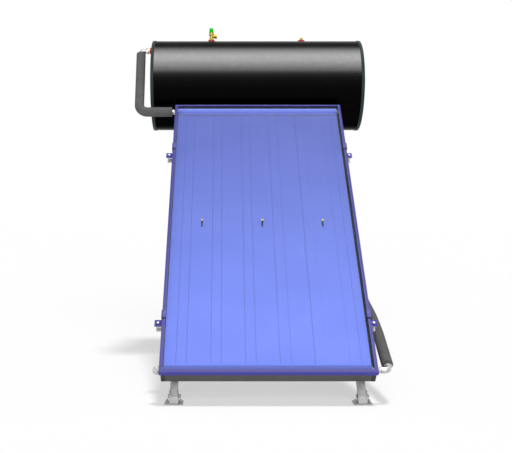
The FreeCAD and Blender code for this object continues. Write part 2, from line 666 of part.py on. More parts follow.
def make_legs(side, name):
    """One side frame: sloping beam, rear post, tank arm and diagonal strut."""
    inner, outer = LEG_X - LEG_WIDTH / 2, LEG_X + LEG_WIDTH / 2
    arm_in = inner - ARM_WIDTH
    beam_joint = slope_point(0, BEAM_TOP_S, LEG_DEPTH_MID)
    strut_joint = slope_point(0, STRUT_BEAM_S, LEG_DEPTH_MID)
    strut_end = V(0, POST_Y, STRUT_POST_Z)

    beam = hollow_bar(inner, outer, BEAM_HIGH - BEAM_LOW, LEG_DEPTH, LEG_WALL)
    beam.translate(V(0, BEAM_LOW, -LEG_DEPTH_MID))
    for s in RAIL_PLACES:
        beam = beam.cut(bolt_hole(V(LEG_X, s, -COLLECTOR_DEPTH - RAIL_SIZE), -Z_AXIS, LEG_DEPTH))
    beam = on_slope(beam)

    post = hollow_bar(inner, outer, POST_HIGH - POST_LOW, LEG_DEPTH, LEG_WALL)
    post.rotate(V(0, 0, 0), X_AXIS, 90)
    post.translate(V(0, POST_Y, POST_LOW))

    arm_start, arm_end = beam_joint.y - ARM_FRONT_OVERHANG, POST_Y + ARM_REAR_OVERHANG
    arm = hollow_bar(arm_in, inner, arm_end - arm_start, ARM_DEPTH, LEG_WALL)
    arm.translate(V(0, arm_start, ARM_MID))

    run = strut_end - strut_joint
    strut = hollow_bar(arm_in, inner, run.Length + 2 * STRUT_OVERHANG, STRUT_DEPTH, LEG_WALL)
    strut.translate(V(0, -STRUT_OVERHANG, 0))
    strut.rotate(V(0, 0, 0), X_AXIS, degrees(atan2(run.z, run.y)))
    strut.translate(strut_joint)

    across = ARM_WIDTH + LEG_WIDTH
    screws = []
    for y, z, pair in ((beam_joint.y, beam_joint.z, "arm beam"), (POST_Y, ARM_MID, "arm post"),
                       (strut_joint.y, strut_joint.z, "strut beam"),
                       (POST_Y, STRUT_POST_Z, "strut post")):
        start = V(arm_in, y, z)
        hole = bolt_hole(start, X_AXIS, across)
        if "beam" in pair:
            beam = beam.cut(hole)
        else:
            post = post.cut(hole)
        if "arm" in pair:
            arm = arm.cut(hole)
        else:
            strut = strut.cut(hole)
        screws += bolt(start, X_AXIS, across)

    for y in (TANK_AXIS_Y - SADDLE_BOLT_Y, TANK_AXIS_Y + SADDLE_BOLT_Y):
        start = V(ARM_X, y, ARM_Z)
        arm = arm.cut(bolt_hole(start, Z_AXIS, ARM_DEPTH))
        screws += bolt(start, Z_AXIS, ARM_DEPTH + SADDLE_SHEET)

    for z in (BRACE_LOW, BRACE_HIGH):
        post = post.cut(bolt_hole(V(LEG_X, POST_Y - LEG_DEPTH / 2, z), Y_AXIS, LEG_DEPTH))

    pivot_beam = slope_point(0, FOOT_BOLT_S, LEG_DEPTH_MID)
    beam = beam.cut(bolt_hole(V(inner, pivot_beam.y, pivot_beam.z), X_AXIS, LEG_WIDTH))
    post = post.cut(bolt_hole(V(inner, POST_Y, FOOT_BOLT_Z), X_AXIS, LEG_WIDTH))

    for s in RAIL_PLACES:
        start = V(LEG_X, s, -COLLECTOR_DEPTH - RAIL_SIZE - LEG_DEPTH)
        screws += [on_slope(piece) for piece in bolt(start, Z_AXIS, LEG_DEPTH + RAIL_WALL)]

    pieces = {"sloping_beam": beam, "rear_post": post, "tank_arms": arm, "diagonal_struts": strut}
    if side < 0:
        pieces = {key: piece.mirror(V(0, 0, 0), X_AXIS) for key, piece in pieces.items()}
        screws = [piece.mirror(V(0, 0, 0), X_AXIS) for piece in screws]
    for key, piece in pieces.items():
        keep(key if key.endswith("s") else name + "_" + key, piece)
    keep("stand_bolts", *screws)


def make_braces():
    """Two flat bars that cross between the rear posts, one on each face of the posts."""
    front_face, back_face = POST_Y - LEG_DEPTH / 2, POST_Y + LEG_DEPTH / 2
    run = V(2 * LEG_X, 0, BRACE_HIGH - BRACE_LOW)
    angle = degrees(atan2(run.z, run.x))
    bars = []
    for face, sign in ((front_face - BRACE_THICKNESS, 1), (back_face, -1)):
        bar = box(-BRACE_OVERHANG, run.Length + BRACE_OVERHANG, 0, BRACE_THICKNESS,
                  -BRACE_WIDTH / 2, BRACE_WIDTH / 2)
        bar.rotate(V(0, 0, 0), Y_AXIS, -angle)
        bar.translate(V(-LEG_X, face, BRACE_LOW))
        for x, z in ((-LEG_X, BRACE_LOW), (LEG_X, BRACE_HIGH)):
            bar = bar.cut(bolt_hole(V(x, face, z), Y_AXIS, BRACE_THICKNESS))
        bars.append(bar if sign > 0 else bar.mirror(V(0, 0, 0), X_AXIS))
    keep("rear_cross_braces", *bars)

    grip = LEG_DEPTH + BRACE_THICKNESS
    for x, z in ((-LEG_X, BRACE_LOW), (LEG_X, BRACE_HIGH)):
        keep("stand_bolts", *bolt(V(x, front_face - BRACE_THICKNESS, z), Y_AXIS, grip))
    for x, z in ((LEG_X, BRACE_LOW), (-LEG_X, BRACE_HIGH)):
        keep("stand_bolts", *bolt(V(x, front_face, z), Y_AXIS, grip))


def make_feet():
    """Four foot brackets, cups of two ears and a web, that tilt on their pivot bolts."""
    pivots = []
    for name, hand, end in FEET:
        x, y = hand * LEG_X, end * FOOT_PITCH_Y / 2
        half = FOOT_PLATE / 2
        foot = box(x - half, x + half, y - half, y + half, 0, FOOT_PLATE_THICKNESS)
        corners = [e for e in foot.Edges if e.BoundBox.ZLength > FOOT_PLATE_THICKNESS - 0.1]
        foot = foot.makeFillet(FOOT_CORNER, corners)
        ear_in = LEG_WIDTH / 2 + FOOT_GAP
        outer = ear_in + FOOT_EAR_THICKNESS
        crown_z = FOOT_EAR_TOP - FOOT_EAR_HALF
        web_in, web_out = y + end * FOOT_WEB_IN, y + end * (FOOT_WEB_IN + FOOT_EAR_THICKNESS)
        low, high = sorted((web_out, y - end * FOOT_EAR_HALF))
        for ear_x in (x - outer, x + ear_in):
            ear = box(ear_x, ear_x + FOOT_EAR_THICKNESS, y - FOOT_EAR_HALF, y + FOOT_EAR_HALF,
                      FOOT_PLATE_THICKNESS, crown_z)
            side = box(ear_x, ear_x + FOOT_EAR_THICKNESS, low, high, FOOT_PLATE_THICKNESS, FOOT_WEB_TOP)
            crown = rod(FOOT_EAR_HALF, V(ear_x, y, crown_z), X_AXIS, FOOT_EAR_THICKNESS)
            foot = foot.fuse([ear, side, crown])
        low, high = sorted((web_in, web_out))
        web = box(x - outer, x + outer, low, high, FOOT_PLATE_THICKNESS, FOOT_WEB_TOP)
        foot = foot.fuse(web).removeSplitter()
        hole = rod(PIVOT_HOLE_RADIUS, V(x - outer - 1, y, FOOT_BOLT_Z), X_AXIS, 2 * outer + 2)
        foot = foot.cut(hole)
        for offset in (-ANCHOR_OFFSET, ANCHOR_OFFSET):
            foot = foot.cut(rod(ANCHOR_RADIUS, V(x + offset, y, 0), Z_AXIS, FOOT_PLATE_THICKNESS))
        keep(name, foot)
        grip = 2 * outer + 2 * FOOT_GAP
        pivots += bolt(V(x - grip / 2, y, FOOT_BOLT_Z), X_AXIS, grip)
    keep("foot_pivot_bolts", *pivots)


def make_saddles():
    """Folded cradles on the tank arms, with rubber pads under the tank."""
    pads = []
    for side in (-1, 1):
        x0, x1 = side * ARM_X - SADDLE_HALF_WIDTH, side * ARM_X + SADDLE_HALF_WIDTH
        y0, y1 = TANK_AXIS_Y - SADDLE_HALF_LENGTH, TANK_AXIS_Y + SADDLE_HALF_LENGTH
        block = box(x0, x1, y0, y1, ARM_TOP, TANK_AXIS_Z)
        axis = V(x0 - 1, TANK_AXIS_Y, TANK_AXIS_Z)
        width = x1 - x0 + 2
        block = block.cut(rod(SADDLE_RADIUS, axis, X_AXIS, width))
        inside = box(x0 + SADDLE_SHEET, x1 - SADDLE_SHEET, y0 - 1, y1 + 1,
                     ARM_TOP + SADDLE_SHEET, TANK_AXIS_Z)
        inside = inside.cut(rod(SADDLE_RADIUS + SADDLE_SHEET, axis, X_AXIS, width))
        saddle = block.cut(inside)
        for y in (TANK_AXIS_Y - SADDLE_BOLT_Y, TANK_AXIS_Y + SADDLE_BOLT_Y):
            saddle = saddle.cut(bolt_hole(V(side * ARM_X, y, ARM_TOP), Z_AXIS, SADDLE_SHEET))
        keep("tank_saddles", saddle)

        pad = tank_rod(SADDLE_RADIUS - PAD_CLEARANCE, x0, x1)
        pad = pad.cut(tank_rod(TANK_RADIUS + PAD_CLEARANCE, x0, x1))
        pads.append(pad.common(box(x0, x1, y0 + 4, y1 - 4, ARM_TOP, TANK_AXIS_Z)))
    keep("saddle_pads", *pads)


# ---------------------------------------------------------------- tank
def tank_rod(radius, x0, x1):
    """A cylinder on the tank's axis."""
    return rod(radius, V(x0, TANK_AXIS_Y, TANK_AXIS_Z), X_AXIS, x1 - x0)


def radial_ports(radius):
    """Bars from the jacket out through the tank wall at each port, for cutting holes."""
    inside = VESSEL_RADIUS + 8
    top, bottom = V(0, TANK_AXIS_Y, TANK_AXIS_Z + inside), V(0, TANK_AXIS_Y, TANK_AXIS_Z - inside)
    return [rod(radius, top + X_AXIS * RELIEF_X, Z_AXIS, TANK_RADIUS),
            rod(radius, top + X_AXIS * VENT_X, Z_AXIS, TANK_RADIUS),
            rod(radius, bottom + X_AXIS * RETURN_PORT_X, -Z_AXIS, TANK_RADIUS)]


def potable_ports(radius):
    """Bars out through the tank's underside at the two drinking-water ports."""
    top = TANK_AXIS_Z - VESSEL_RADIUS + 10
    return [rod(radius, V(x, TANK_AXIS_Y, top), -Z_AXIS, TANK_RADIUS) for x in (-POTABLE_X, POTABLE_X)]


def flow_port(radius):
    """A bar through the left end at the hot flow port."""
    return rod(radius, V(-JACKET_HALF + 1, FLOW_PORT_Y, FLOW_PORT_Z), -X_AXIS, TANK_RADIUS)


def domed(radius, half, dome):
    """A cylinder on the tank's axis with shallow round ends."""
    top = V(half, 0, radius)
    crown = V(half + dome, 0, 0)
    sphere = (radius ** 2 + dome ** 2) / (2 * dome)
    centre_x = half + dome - sphere
    lean = atan2(radius, top.x - centre_x) / 2
    middle = V(centre_x + sphere * cos(lean), 0, sphere * sin(lean))
    flip = V(-half, 0, radius)
    edges = [Part.Arc(crown, middle, top).toShape(), Part.LineSegment(top, flip).toShape(),
             Part.Arc(flip, V(-middle.x, 0, middle.z), V(-crown.x, 0, 0)).toShape(),
             Part.LineSegment(V(-crown.x, 0, 0), crown).toShape()]
    solid = Part.Face(Part.Wire(edges)).revolve(V(0, 0, 0), X_AXIS, 360)
    solid.translate(V(0, TANK_AXIS_Y, TANK_AXIS_Z))
    return solid


def make_tank():
    """Casing, end covers, insulation, vessel, heating jacket, anode and service flange."""
    half = TANK_HALF - 13
    casing = tank_rod(TANK_RADIUS, -half, half).cut(tank_rod(TANK_RADIUS - CASING_SHEET, -half, half))
    casing = casing.cut(radial_ports(NIPPLE_RADIUS + 1) + potable_ports(POTABLE_RADIUS + 1))
    keep("tank_casing", casing)

    flange_face = NECK_END + FLANGE_GASKET
    for name, side in (("left", -1), ("right", 1)):
        edge = TANK_HALF - 2
        dish_radius = RIM_LIP - 20
        cover = tank_rod(COVER_RADIUS, edge - COVER_SKIRT, edge)
        cover = cover.cut(tank_rod(COVER_RADIUS - COVER_SHEET, edge - COVER_SKIRT, edge - COVER_SHEET))
        dish = tank_rod(dish_radius, edge - COVER_SHEET - COVER_DISH, edge)
        dish = dish.cut(tank_rod(dish_radius - COVER_SHEET, edge - COVER_DISH, edge))
        cover = cover.cut(tank_rod(dish_radius, edge - COVER_SHEET - 1, edge))
        cover = cover.fuse(dish).removeSplitter()
        inside = TANK_RADIUS + PART_GAP
        lip = turned([(RIM_LIP, 0), (RIM_RADIUS - 1, 0), (RIM_RADIUS, -1), (RIM_RADIUS, -RIM_WIDTH),
                      (inside, -RIM_WIDTH), (inside, -1.9), (RIM_LIP, -1.9)],
                     V(TANK_HALF, TANK_AXIS_Y, TANK_AXIS_Z), X_AXIS)
        if side < 0:
            cover = cover.mirror(V(0, 0, 0), X_AXIS).cut(flow_port(NIPPLE_RADIUS + 1))
            lip = lip.mirror(V(0, 0, 0), X_AXIS)
        keep(name + "_end_cover", cover)
        keep("end_rims", lip)

    vessel = domed(VESSEL_RADIUS, VESSEL_HALF, DOME)
    vessel = vessel.fuse(tank_rod(NECK_RADIUS, VESSEL_HALF, NECK_END))
    vessel = vessel.fuse(tank_rod(FLANGE_RADIUS, NECK_END - FLANGE_RING, NECK_END))
    vessel = vessel.cut(domed(VESSEL_RADIUS - VESSEL_WALL, VESSEL_HALF, DOME - VESSEL_WALL))
    vessel = vessel.cut(tank_rod(NECK_RADIUS - NECK_WALL, VESSEL_HALF, NECK_END))
    vessel = vessel.cut(potable_ports(POTABLE_RADIUS + 0.05))
    turns = [2 * pi * i / FLANGE_BOLTS for i in range(FLANGE_BOLTS)]
    bolt_circle = [V(0, TANK_AXIS_Y + FLANGE_BOLT_CIRCLE * cos(turn),
                     TANK_AXIS_Z + FLANGE_BOLT_CIRCLE * sin(turn)) for turn in turns]
    for centre in bolt_circle:
        ring_back = centre + X_AXIS * (NECK_END - FLANGE_RING)
        vessel = vessel.cut(bolt_hole(ring_back, X_AXIS, FLANGE_RING, M8))
    keep("inner_vessel", vessel)

    jacket = tank_rod(JACKET_RADIUS, -JACKET_HALF, JACKET_HALF)
    inner_half = JACKET_HALF - JACKET_WALL
    jacket = jacket.cut(tank_rod(JACKET_RADIUS - JACKET_WALL, -inner_half, inner_half))
    jacket = jacket.cut(tank_rod(VESSEL_RADIUS + PART_GAP, -JACKET_HALF, JACKET_HALF))
    jacket = jacket.cut(radial_ports(NIPPLE_BORE) + potable_ports(POTABLE_RADIUS + PART_GAP))
    jacket = jacket.cut(rod(NIPPLE_BORE, V(-JACKET_HALF + 5, FLOW_PORT_Y, FLOW_PORT_Z), -X_AXIS, 10))
    keep("heating_jacket", jacket)

    foam = tank_rod(COVER_RADIUS - FOAM_GAP, -FOAM_HALF, FOAM_HALF)
    foam = foam.cut(tank_rod(JACKET_RADIUS + PART_GAP, -JACKET_HALF - PART_GAP, JACKET_HALF + PART_GAP))
    foam = foam.cut(domed(VESSEL_RADIUS + PART_GAP, VESSEL_HALF, DOME + 0.5))
    foam = foam.cut(tank_rod(FLANGE_RADIUS + 12, VESSEL_HALF + 25, FOAM_HALF))
    foam = foam.cut(radial_ports(NIPPLE_RADIUS + PART_GAP) + potable_ports(POTABLE_RADIUS + PART_GAP))
    keep("tank_insulation", foam.cut(flow_port(NIPPLE_RADIUS + PART_GAP)))

    plate = tank_rod(FLANGE_RADIUS, flange_face, flange_face + FLANGE_THICKNESS)
    gasket = tank_rod(FLANGE_BOLT_CIRCLE - 7, NECK_END, flange_face)
    gasket = gasket.cut(tank_rod(NECK_RADIUS - NECK_WALL, NECK_END, flange_face))
    grip = FLANGE_THICKNESS + FLANGE_GASKET + FLANGE_RING
    screws = []
    for centre in bolt_circle:
        start = centre + X_AXIS * (flange_face + FLANGE_THICKNESS)
        plate = plate.cut(bolt_hole(start, -X_AXIS, FLANGE_THICKNESS, M8))
        screws += bolt(start, -X_AXIS, grip, M8)
    keep("service_flange", plate)
    keep("flange_gasket", gasket)
    keep("flange_bolts", *screws)
    anode_end = flange_face - ANODE_STUD
    anode = tank_rod(ANODE_RADIUS, ANODE_START, anode_end)
    anode = anode.fuse(tank_rod(M10["radius"], anode_end, flange_face))
    keep("magnesium_anode", anode)


def make_ports():
    """Steel nipples, the drinking-water pipes and the red gaskets around them."""
    jacket_top = TANK_AXIS_Z + JACKET_RADIUS + 0.1
    jacket_low = TANK_AXIS_Z - JACKET_RADIUS - 0.1
    top_height = TANK_TOP + GASKET_HEIGHT - jacket_top
    drop = jacket_low - (TANK_BOTTOM - GASKET_HEIGHT)
    nipples = [
        pipe(NIPPLE_RADIUS, NIPPLE_BORE, V(RELIEF_X, TANK_AXIS_Y, jacket_top), Z_AXIS, top_height),
        pipe(NIPPLE_RADIUS, NIPPLE_BORE, V(VENT_X, TANK_AXIS_Y, jacket_top), Z_AXIS, top_height),
        pipe(NIPPLE_RADIUS, NIPPLE_BORE, V(RETURN_PORT_X, TANK_AXIS_Y, jacket_low), -Z_AXIS, drop),
    ]
    flow_start = V(-JACKET_HALF - 0.1, FLOW_PORT_Y, FLOW_PORT_Z)
    flow_length = TANK_HALF + FLOW_GASKET_HEIGHT + PORT_RING - JACKET_HALF - FLOW_NIPPLE_INSET
    ring_start = flow_start - X_AXIS * (flow_length - PORT_RING)
    flow = rod(NIPPLE_RADIUS, flow_start, -X_AXIS, flow_length)
    flow = flow.fuse(rod(PORT_RING_RADIUS, ring_start, -X_AXIS, PORT_RING))
    nipples.append(flow.cut(rod(NIPPLE_BORE, flow_start, -X_AXIS, flow_length)))
    keep("jacket_nipples", *nipples)

    low = TANK_BOTTOM - POTABLE_STUB
    cold_top = TANK_AXIS_Z - VESSEL_RADIUS + COLD_DIP
    hot_top = TANK_AXIS_Z + VESSEL_RADIUS - HOT_DIP
    for name, x, top in (("cold_water_inlet", POTABLE_X, cold_top),
                         ("hot_water_outlet", -POTABLE_X, hot_top)):
        start = V(x, TANK_AXIS_Y, low)
        stub = rod(POTABLE_THREAD_RADIUS, start, Z_AXIS, POTABLE_THREAD)
        stub = stub.fuse(rod(POTABLE_RADIUS, start, Z_AXIS, top - low))
        keep(name, stub.cut(rod(POTABLE_BORE, start, Z_AXIS, top - low)))

    def gasket(inner, sunk, height=GASKET_HEIGHT):
        bore, shoulder, top = inner + GASKET_FIT, GASKET_RADIUS - GASKET_SHOULDER, sunk + height
        return [(bore, 0), (GASKET_RADIUS, 0), (GASKET_RADIUS, top - GASKET_SHOULDER),
                (shoulder, top), (bore, top)]

    wall = sqrt(TANK_RADIUS ** 2 - GASKET_RADIUS ** 2)
    rings = []
    for x, sign, inner in ((RELIEF_X, 1, NIPPLE_RADIUS), (VENT_X, 1, NIPPLE_RADIUS),
                           (RETURN_PORT_X, -1, NIPPLE_RADIUS), (-POTABLE_X, -1, POTABLE_RADIUS),
                           (POTABLE_X, -1, POTABLE_RADIUS)):
        base = V(x, TANK_AXIS_Y, TANK_AXIS_Z + sign * wall)
        ring = turned(gasket(inner, TANK_RADIUS - wall), base, Z_AXIS * sign)
        rings.append(ring.cut(tank_rod(TANK_RADIUS + GASKET_FIT, x - GASKET_RADIUS,
                                       x + GASKET_RADIUS)))
    face = V(-TANK_HALF + COVER_FACE_INSET, FLOW_PORT_Y, FLOW_PORT_Z)
    rings.append(turned(gasket(NIPPLE_RADIUS, 0, FLOW_GASKET_HEIGHT), face, -X_AXIS))
    keep("port_gaskets", *rings)


# ---------------------------------------------------------------- relief valve and vent
def make_relief_valve():
    """Brass safety valve: body, sprung spindle and a green test cap that turns."""
    base = V(RELIEF_X, TANK_AXIS_Y, VALVE_BASE)
    outline = [(0, 0), (BODY_FLANGE_RADIUS, 0), (BODY_FLANGE_RADIUS, BODY_FLANGE),
               (BODY_WAIST_RADIUS, BODY_FLANGE + BODY_CONE),
               (BODY_WAIST_RADIUS, BODY_COLLAR - BODY_CONE),
               (BODY_COLLAR_RADIUS, BODY_COLLAR), (BODY_COLLAR_RADIUS, BONNET - BONNET_BEVEL),
               (BODY_COLLAR_RADIUS - BONNET_BEVEL, BONNET), (0, BONNET)]
    body = turned(outline, base)
    outlet = base + Z_AXIS * OUTLET
    body = body.fuse(rod(OUTLET_NECK_RADIUS, outlet, X_AXIS, OUTLET_END))
    body = body.fuse(rod(OUTLET_COLLAR_RADIUS, outlet + X_AXIS * OUTLET_COLLAR_START, X_AXIS,
                         OUTLET_END - OUTLET_COLLAR_START))
    body = body.cut(rod(INLET_BORE, base, Z_AXIS, SEAT))
    body = body.cut(rod(CHAMBER_RADIUS, base + Z_AXIS * (SEAT + SEAT_STEP), Z_AXIS,
                        BONNET - BONNET_ROOF - SEAT - SEAT_STEP))
    body = body.cut(rod(SEAT_RADIUS, base + Z_AXIS * SEAT, Z_AXIS, BONNET_ROOF))
    body = body.cut(rod(OUTLET_BORE, outlet, X_AXIS, OUTLET_END))
    socket = outlet + X_AXIS * (OUTLET_END - OUTLET_SOCKET)
    body = body.cut(rod(OUTLET_SOCKET_RADIUS, socket, X_AXIS, OUTLET_SOCKET))
    body = body.cut(rod(SPINDLE_RADIUS + SPINDLE_CLEARANCE, base, Z_AXIS, BONNET + 1))
    keep("relief_valve_body", body)

    disc = SEAT + PART_GAP
    disc_top = disc + DISC_THICKNESS
    hub_top = BONNET + CAP_HUB
    head_low = hub_top + PART_GAP
    head_high = head_low + SPINDLE_HEAD
    spindle = turned([(0, disc), (DISC_RADIUS, disc), (DISC_RADIUS, disc_top), (SPINDLE_RADIUS, disc_top),
                      (SPINDLE_RADIUS, head_low), (SPINDLE_HEAD_RADIUS, head_low),
                      (SPINDLE_HEAD_RADIUS, head_high), (0, head_high)], base)
    keep("relief_spindle", spindle)

    low, high = disc_top + PART_GAP, BONNET - BONNET_ROOF - PART_GAP
    pitch = (high - low - 2 * SPRING_WIRE) / SPRING_COILS
    helix = Part.makeHelix(pitch, pitch * SPRING_COILS, SPRING_RADIUS)
    section = Part.Wire(Part.makeCircle(SPRING_WIRE, V(SPRING_RADIUS, 0, 0), Y_AXIS))
    spring = Part.Wire(helix.Edges).makePipeShell([section], True, True)
    spring.translate(base + Z_AXIS * (low + SPRING_WIRE))
    keep("relief_spring", spring)

    foot = BONNET + CAP_GAP
    top = foot + CAP_HEIGHT
    pocket = head_high + SPINDLE_LIFT + 2 * CAP_HEAD_GAP
    bore = SPINDLE_RADIUS + SPINDLE_CLEARANCE
    roof = top - CAP_ROOF
    cap = turned([(0, top), (CAP_SHOULDER_RADIUS - CAP_BEVEL, top),
                  (CAP_SHOULDER_RADIUS, top - CAP_BEVEL), (CAP_FOOT_RADIUS, foot),
                  (CAP_FOOT_RADIUS - CAP_WALL, foot), (CAP_SHOULDER_RADIUS - CAP_WALL, roof),
                  (CAP_HUB_RADIUS, roof), (CAP_HUB_RADIUS, foot), (bore, foot), (bore, hub_top),
                  (SPINDLE_HEAD_RADIUS + CAP_HEAD_GAP, hub_top),
                  (SPINDLE_HEAD_RADIUS + CAP_HEAD_GAP, pocket), (0, pocket)], base)
    for i in range(CAP_FLUTES):
        angle = 2 * pi * i / CAP_FLUTES
        low_point = base + V(FLUTE_FOOT * cos(angle), FLUTE_FOOT * sin(angle), foot)
        high_point = base + V(FLUTE_TOP * cos(angle), FLUTE_TOP * sin(angle), top)
        run = high_point - low_point
        cap = cap.cut(rod(FLUTE_RADIUS, low_point - run * 0.1, run, run.Length * 1.2))
    keep("relief_valve_cap", cap)

    vent = V(VENT_X, TANK_AXIS_Y, VALVE_BASE)
    plug = hexagon(VENT_FLATS, vent + Z_AXIS * SEAL_GAP, Z_AXIS, VENT_HEX)
    plug = plug.fuse(rod(VENT_DOME_RADIUS, vent + Z_AXIS * VENT_HEX, Z_AXIS, VENT_DOME))
    plug = plug.fuse(rod(NIPPLE_BORE - SEAL_GAP, vent - Z_AXIS * VENT_SPIGOT, Z_AXIS, VENT_SPIGOT + 1))
    keep("vent_plug", plug)


# ---------------------------------------------------------------- pipes
def union(start, direction, length):
    """A compression union: hexagon nut and a round collar."""
    nut_length = length * UNION_NUT_SHARE
    nut = hexagon(UNION_FLATS, start, direction, nut_length)
    collar = rod(UNION_COLLAR_RADIUS, start + direction * nut_length, direction, length - nut_length)
    return nut.fuse(collar).cut(rod(PIPE_RADIUS + SEAL_GAP, start, direction, length))


def make_pipes():
    """Flow pipe on the left and return hose on the right, each in a foam sleeve."""
    header_low = slope_point(0, HEADERS[0], HEADER_DEPTH)
    header_high = slope_point(0, HEADERS[1], HEADER_DEPTH)
    port_end = -TANK_HALF - FLOW_GASKET_HEIGHT - PORT_RING + PORT_END_LAP

    top = V(port_end, FLOW_PORT_Y, FLOW_PORT_Z)
    corner = V(FLOW_TOP_X, FLOW_PORT_Y, FLOW_PORT_Z)
    foot = V(FLOW_FOOT_X, header_high.y, header_high.z)
    end = V(-FRONT - PIPE_START, header_high.y, header_high.z)
    down = (foot - corner).normalize()
    elbow_end = corner + down * ELBOW_LEG_FLOW
    elbow = bent_tube(ELBOW_RADIUS, NIPPLE_BORE, [top, corner, elbow_end], [ELBOW_BEND])
    keep("pipe_elbows", elbow)
    run = [elbow_end + down * SEAL_GAP, foot, end]
    keep("flow_pipe", bent_tube(PIPE_RADIUS, PIPE_BORE, run, [FLOW_BEND]))
    sleeve_start = elbow_end - down * (FLOW_SLEEVE_LAP - SLEEVE_CLEARANCE)
    sleeve = bent_rod(FLOW_SLEEVE_RADIUS, [sleeve_start, foot, end - X_AXIS * SLEEVE_CLEARANCE],
                      [FLOW_BEND])
    hollow = bent_rod(PIPE_RADIUS + SLEEVE_CLEARANCE, [sleeve_start, foot, end], [FLOW_BEND])
    pocket = rod(ELBOW_RADIUS + SLEEVE_CLEARANCE, sleeve_start - down, down, FLOW_SLEEVE_LAP + 2)
    keep("flow_pipe_insulation", sleeve.cut([hollow, pocket]))

    start = V(FRONT + PIPE_START, header_low.y, header_low.z)
    bend = V(RETURN_ELBOW_X, header_low.y, header_low.z)
    route = [bend] + [slope_point(x, s, d) for x, s, d in RETURN_ROUTE]
    port = V(RETURN_PORT_X, TANK_AXIS_Y, TANK_BOTTOM - GASKET_HEIGHT - 0.2)
    route += [port - Z_AXIS * RETURN_PORT_RUN, port]
    rise = (route[1] - bend).normalize()
    return_elbow_end = bend + rise * ELBOW_LEG_RETURN
    elbow = bent_tube(ELBOW_RADIUS, NIPPLE_BORE, [start, bend, return_elbow_end], [ELBOW_BEND])
    keep("pipe_elbows", elbow)
    run = [return_elbow_end + rise * SEAL_GAP] + route[1:]
    radii = []
    for before, here, after in zip(run, run[1:], run[2:]):
        shorter = min((here - before).Length, (after - here).Length)
        half_turn = (here - before).getAngle(after - here) / 2
        radii.append(min(BEND_SHARE * shorter / tan(half_turn), MAX_BEND))
    keep("return_pipe", bent_tube(PIPE_RADIUS, PIPE_BORE, run, radii))
    sleeve_start = return_elbow_end - rise * RETURN_SLEEVE_LAP
    sleeve_end = port - Z_AXIS * RETURN_SLEEVE_GAP
    sleeve = bent_rod(RETURN_SLEEVE_RADIUS, [sleeve_start] + run[1:-1] + [sleeve_end], radii)
    hollow = bent_rod(PIPE_RADIUS + SLEEVE_CLEARANCE, [sleeve_start] + run[1:-1] + [sleeve_end],
                      radii)
    pocket = rod(ELBOW_RADIUS + SLEEVE_CLEARANCE, sleeve_start - rise, rise, RETURN_SLEEVE_LAP + 2)
    keep("return_pipe_insulation", sleeve.cut([hollow, pocket]))

    upper = union(V(-FRONT - 1, header_high.y, header_high.z), -X_AXIS, UNION_LENGTH)
    lower = union(V(FRONT + 1, header_low.y, header_low.z), X_AXIS, UNION_LENGTH)
    keep("header_unions", upper, lower)
    stub = V(-FRONT, header_low.y, header_low.z)
    washer_start = stub - X_AXIS * DRAIN_GAP
    hex_start = washer_start - X_AXIS * DRAIN_WASHER
    plug = rod(DRAIN_WASHER_RADIUS, washer_start, -X_AXIS, DRAIN_WASHER)
    plug = plug.fuse(hexagon(DRAIN_FLATS, hex_start, -X_AXIS, DRAIN_HEX))
    plug = plug.fuse(rod(DRAIN_DOME_RADIUS, hex_start - X_AXIS * DRAIN_HEX, -X_AXIS, DRAIN_DOME))
    plug = plug.cut(rod(PIPE_RADIUS + SEAL_GAP, stub, -X_AXIS, HEADER_STUB + 1))
    keep("drain_plug", plug)


# ---------------------------------------------------------------- assembly
make_casing()
make_headers()
make_absorber()
make_glazing()
make_frame()
make_clamps()
make_rails()
make_legs(-1, "left")
make_legs(1, "right")
make_braces()
make_feet()
make_saddles()
make_tank()
make_ports()
make_relief_valve()
make_pipes()

os.makedirs("parts", exist_ok=True)
for part_name, solids in parts.items():
    part_shape = solids[0] if len(solids) == 1 else Part.makeCompound(solids)
    if not part_shape.isValid():
        print("not valid:", part_name)
    part_shape.exportStep(os.path.join("parts", part_name + ".step"))
print(len(parts), "sub-parts")
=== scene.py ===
# %% [markdown]
# # A thermosiphon solar water heater
#
# The heater is a flat-plate collector on a sloping stand, with a long black tank above it. The
# sun warms a fluid in the blue panel, the fluid rises through the insulated pipe on the left,
# heats the tank, and sinks back through the pipe on the right. No pump is needed.
#
# The engineering model already has every part at its true size. This lesson dresses that model:
# it gives each part a finish, and rebuilds the parts whose edges, bends and threads a workshop
# would shape more finely.

import json
from math import cos, pi, radians, sin, tan

import bmesh
import bpy
from mathutils import Matrix, Vector


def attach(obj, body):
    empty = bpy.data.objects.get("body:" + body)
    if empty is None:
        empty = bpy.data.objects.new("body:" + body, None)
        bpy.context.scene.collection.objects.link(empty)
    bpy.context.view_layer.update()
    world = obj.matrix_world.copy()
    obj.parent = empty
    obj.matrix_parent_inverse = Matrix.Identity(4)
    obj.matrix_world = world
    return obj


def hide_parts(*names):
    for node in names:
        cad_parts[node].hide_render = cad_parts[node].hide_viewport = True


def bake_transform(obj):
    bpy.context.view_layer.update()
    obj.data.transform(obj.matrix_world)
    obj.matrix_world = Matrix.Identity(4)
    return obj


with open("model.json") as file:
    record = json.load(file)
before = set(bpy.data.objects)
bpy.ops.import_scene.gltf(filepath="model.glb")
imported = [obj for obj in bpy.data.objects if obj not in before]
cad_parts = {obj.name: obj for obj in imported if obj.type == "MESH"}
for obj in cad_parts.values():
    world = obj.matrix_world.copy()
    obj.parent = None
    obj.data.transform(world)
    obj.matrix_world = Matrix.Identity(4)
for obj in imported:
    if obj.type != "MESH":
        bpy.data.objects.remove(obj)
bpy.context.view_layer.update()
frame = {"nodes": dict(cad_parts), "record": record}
nodes = frame["nodes"]

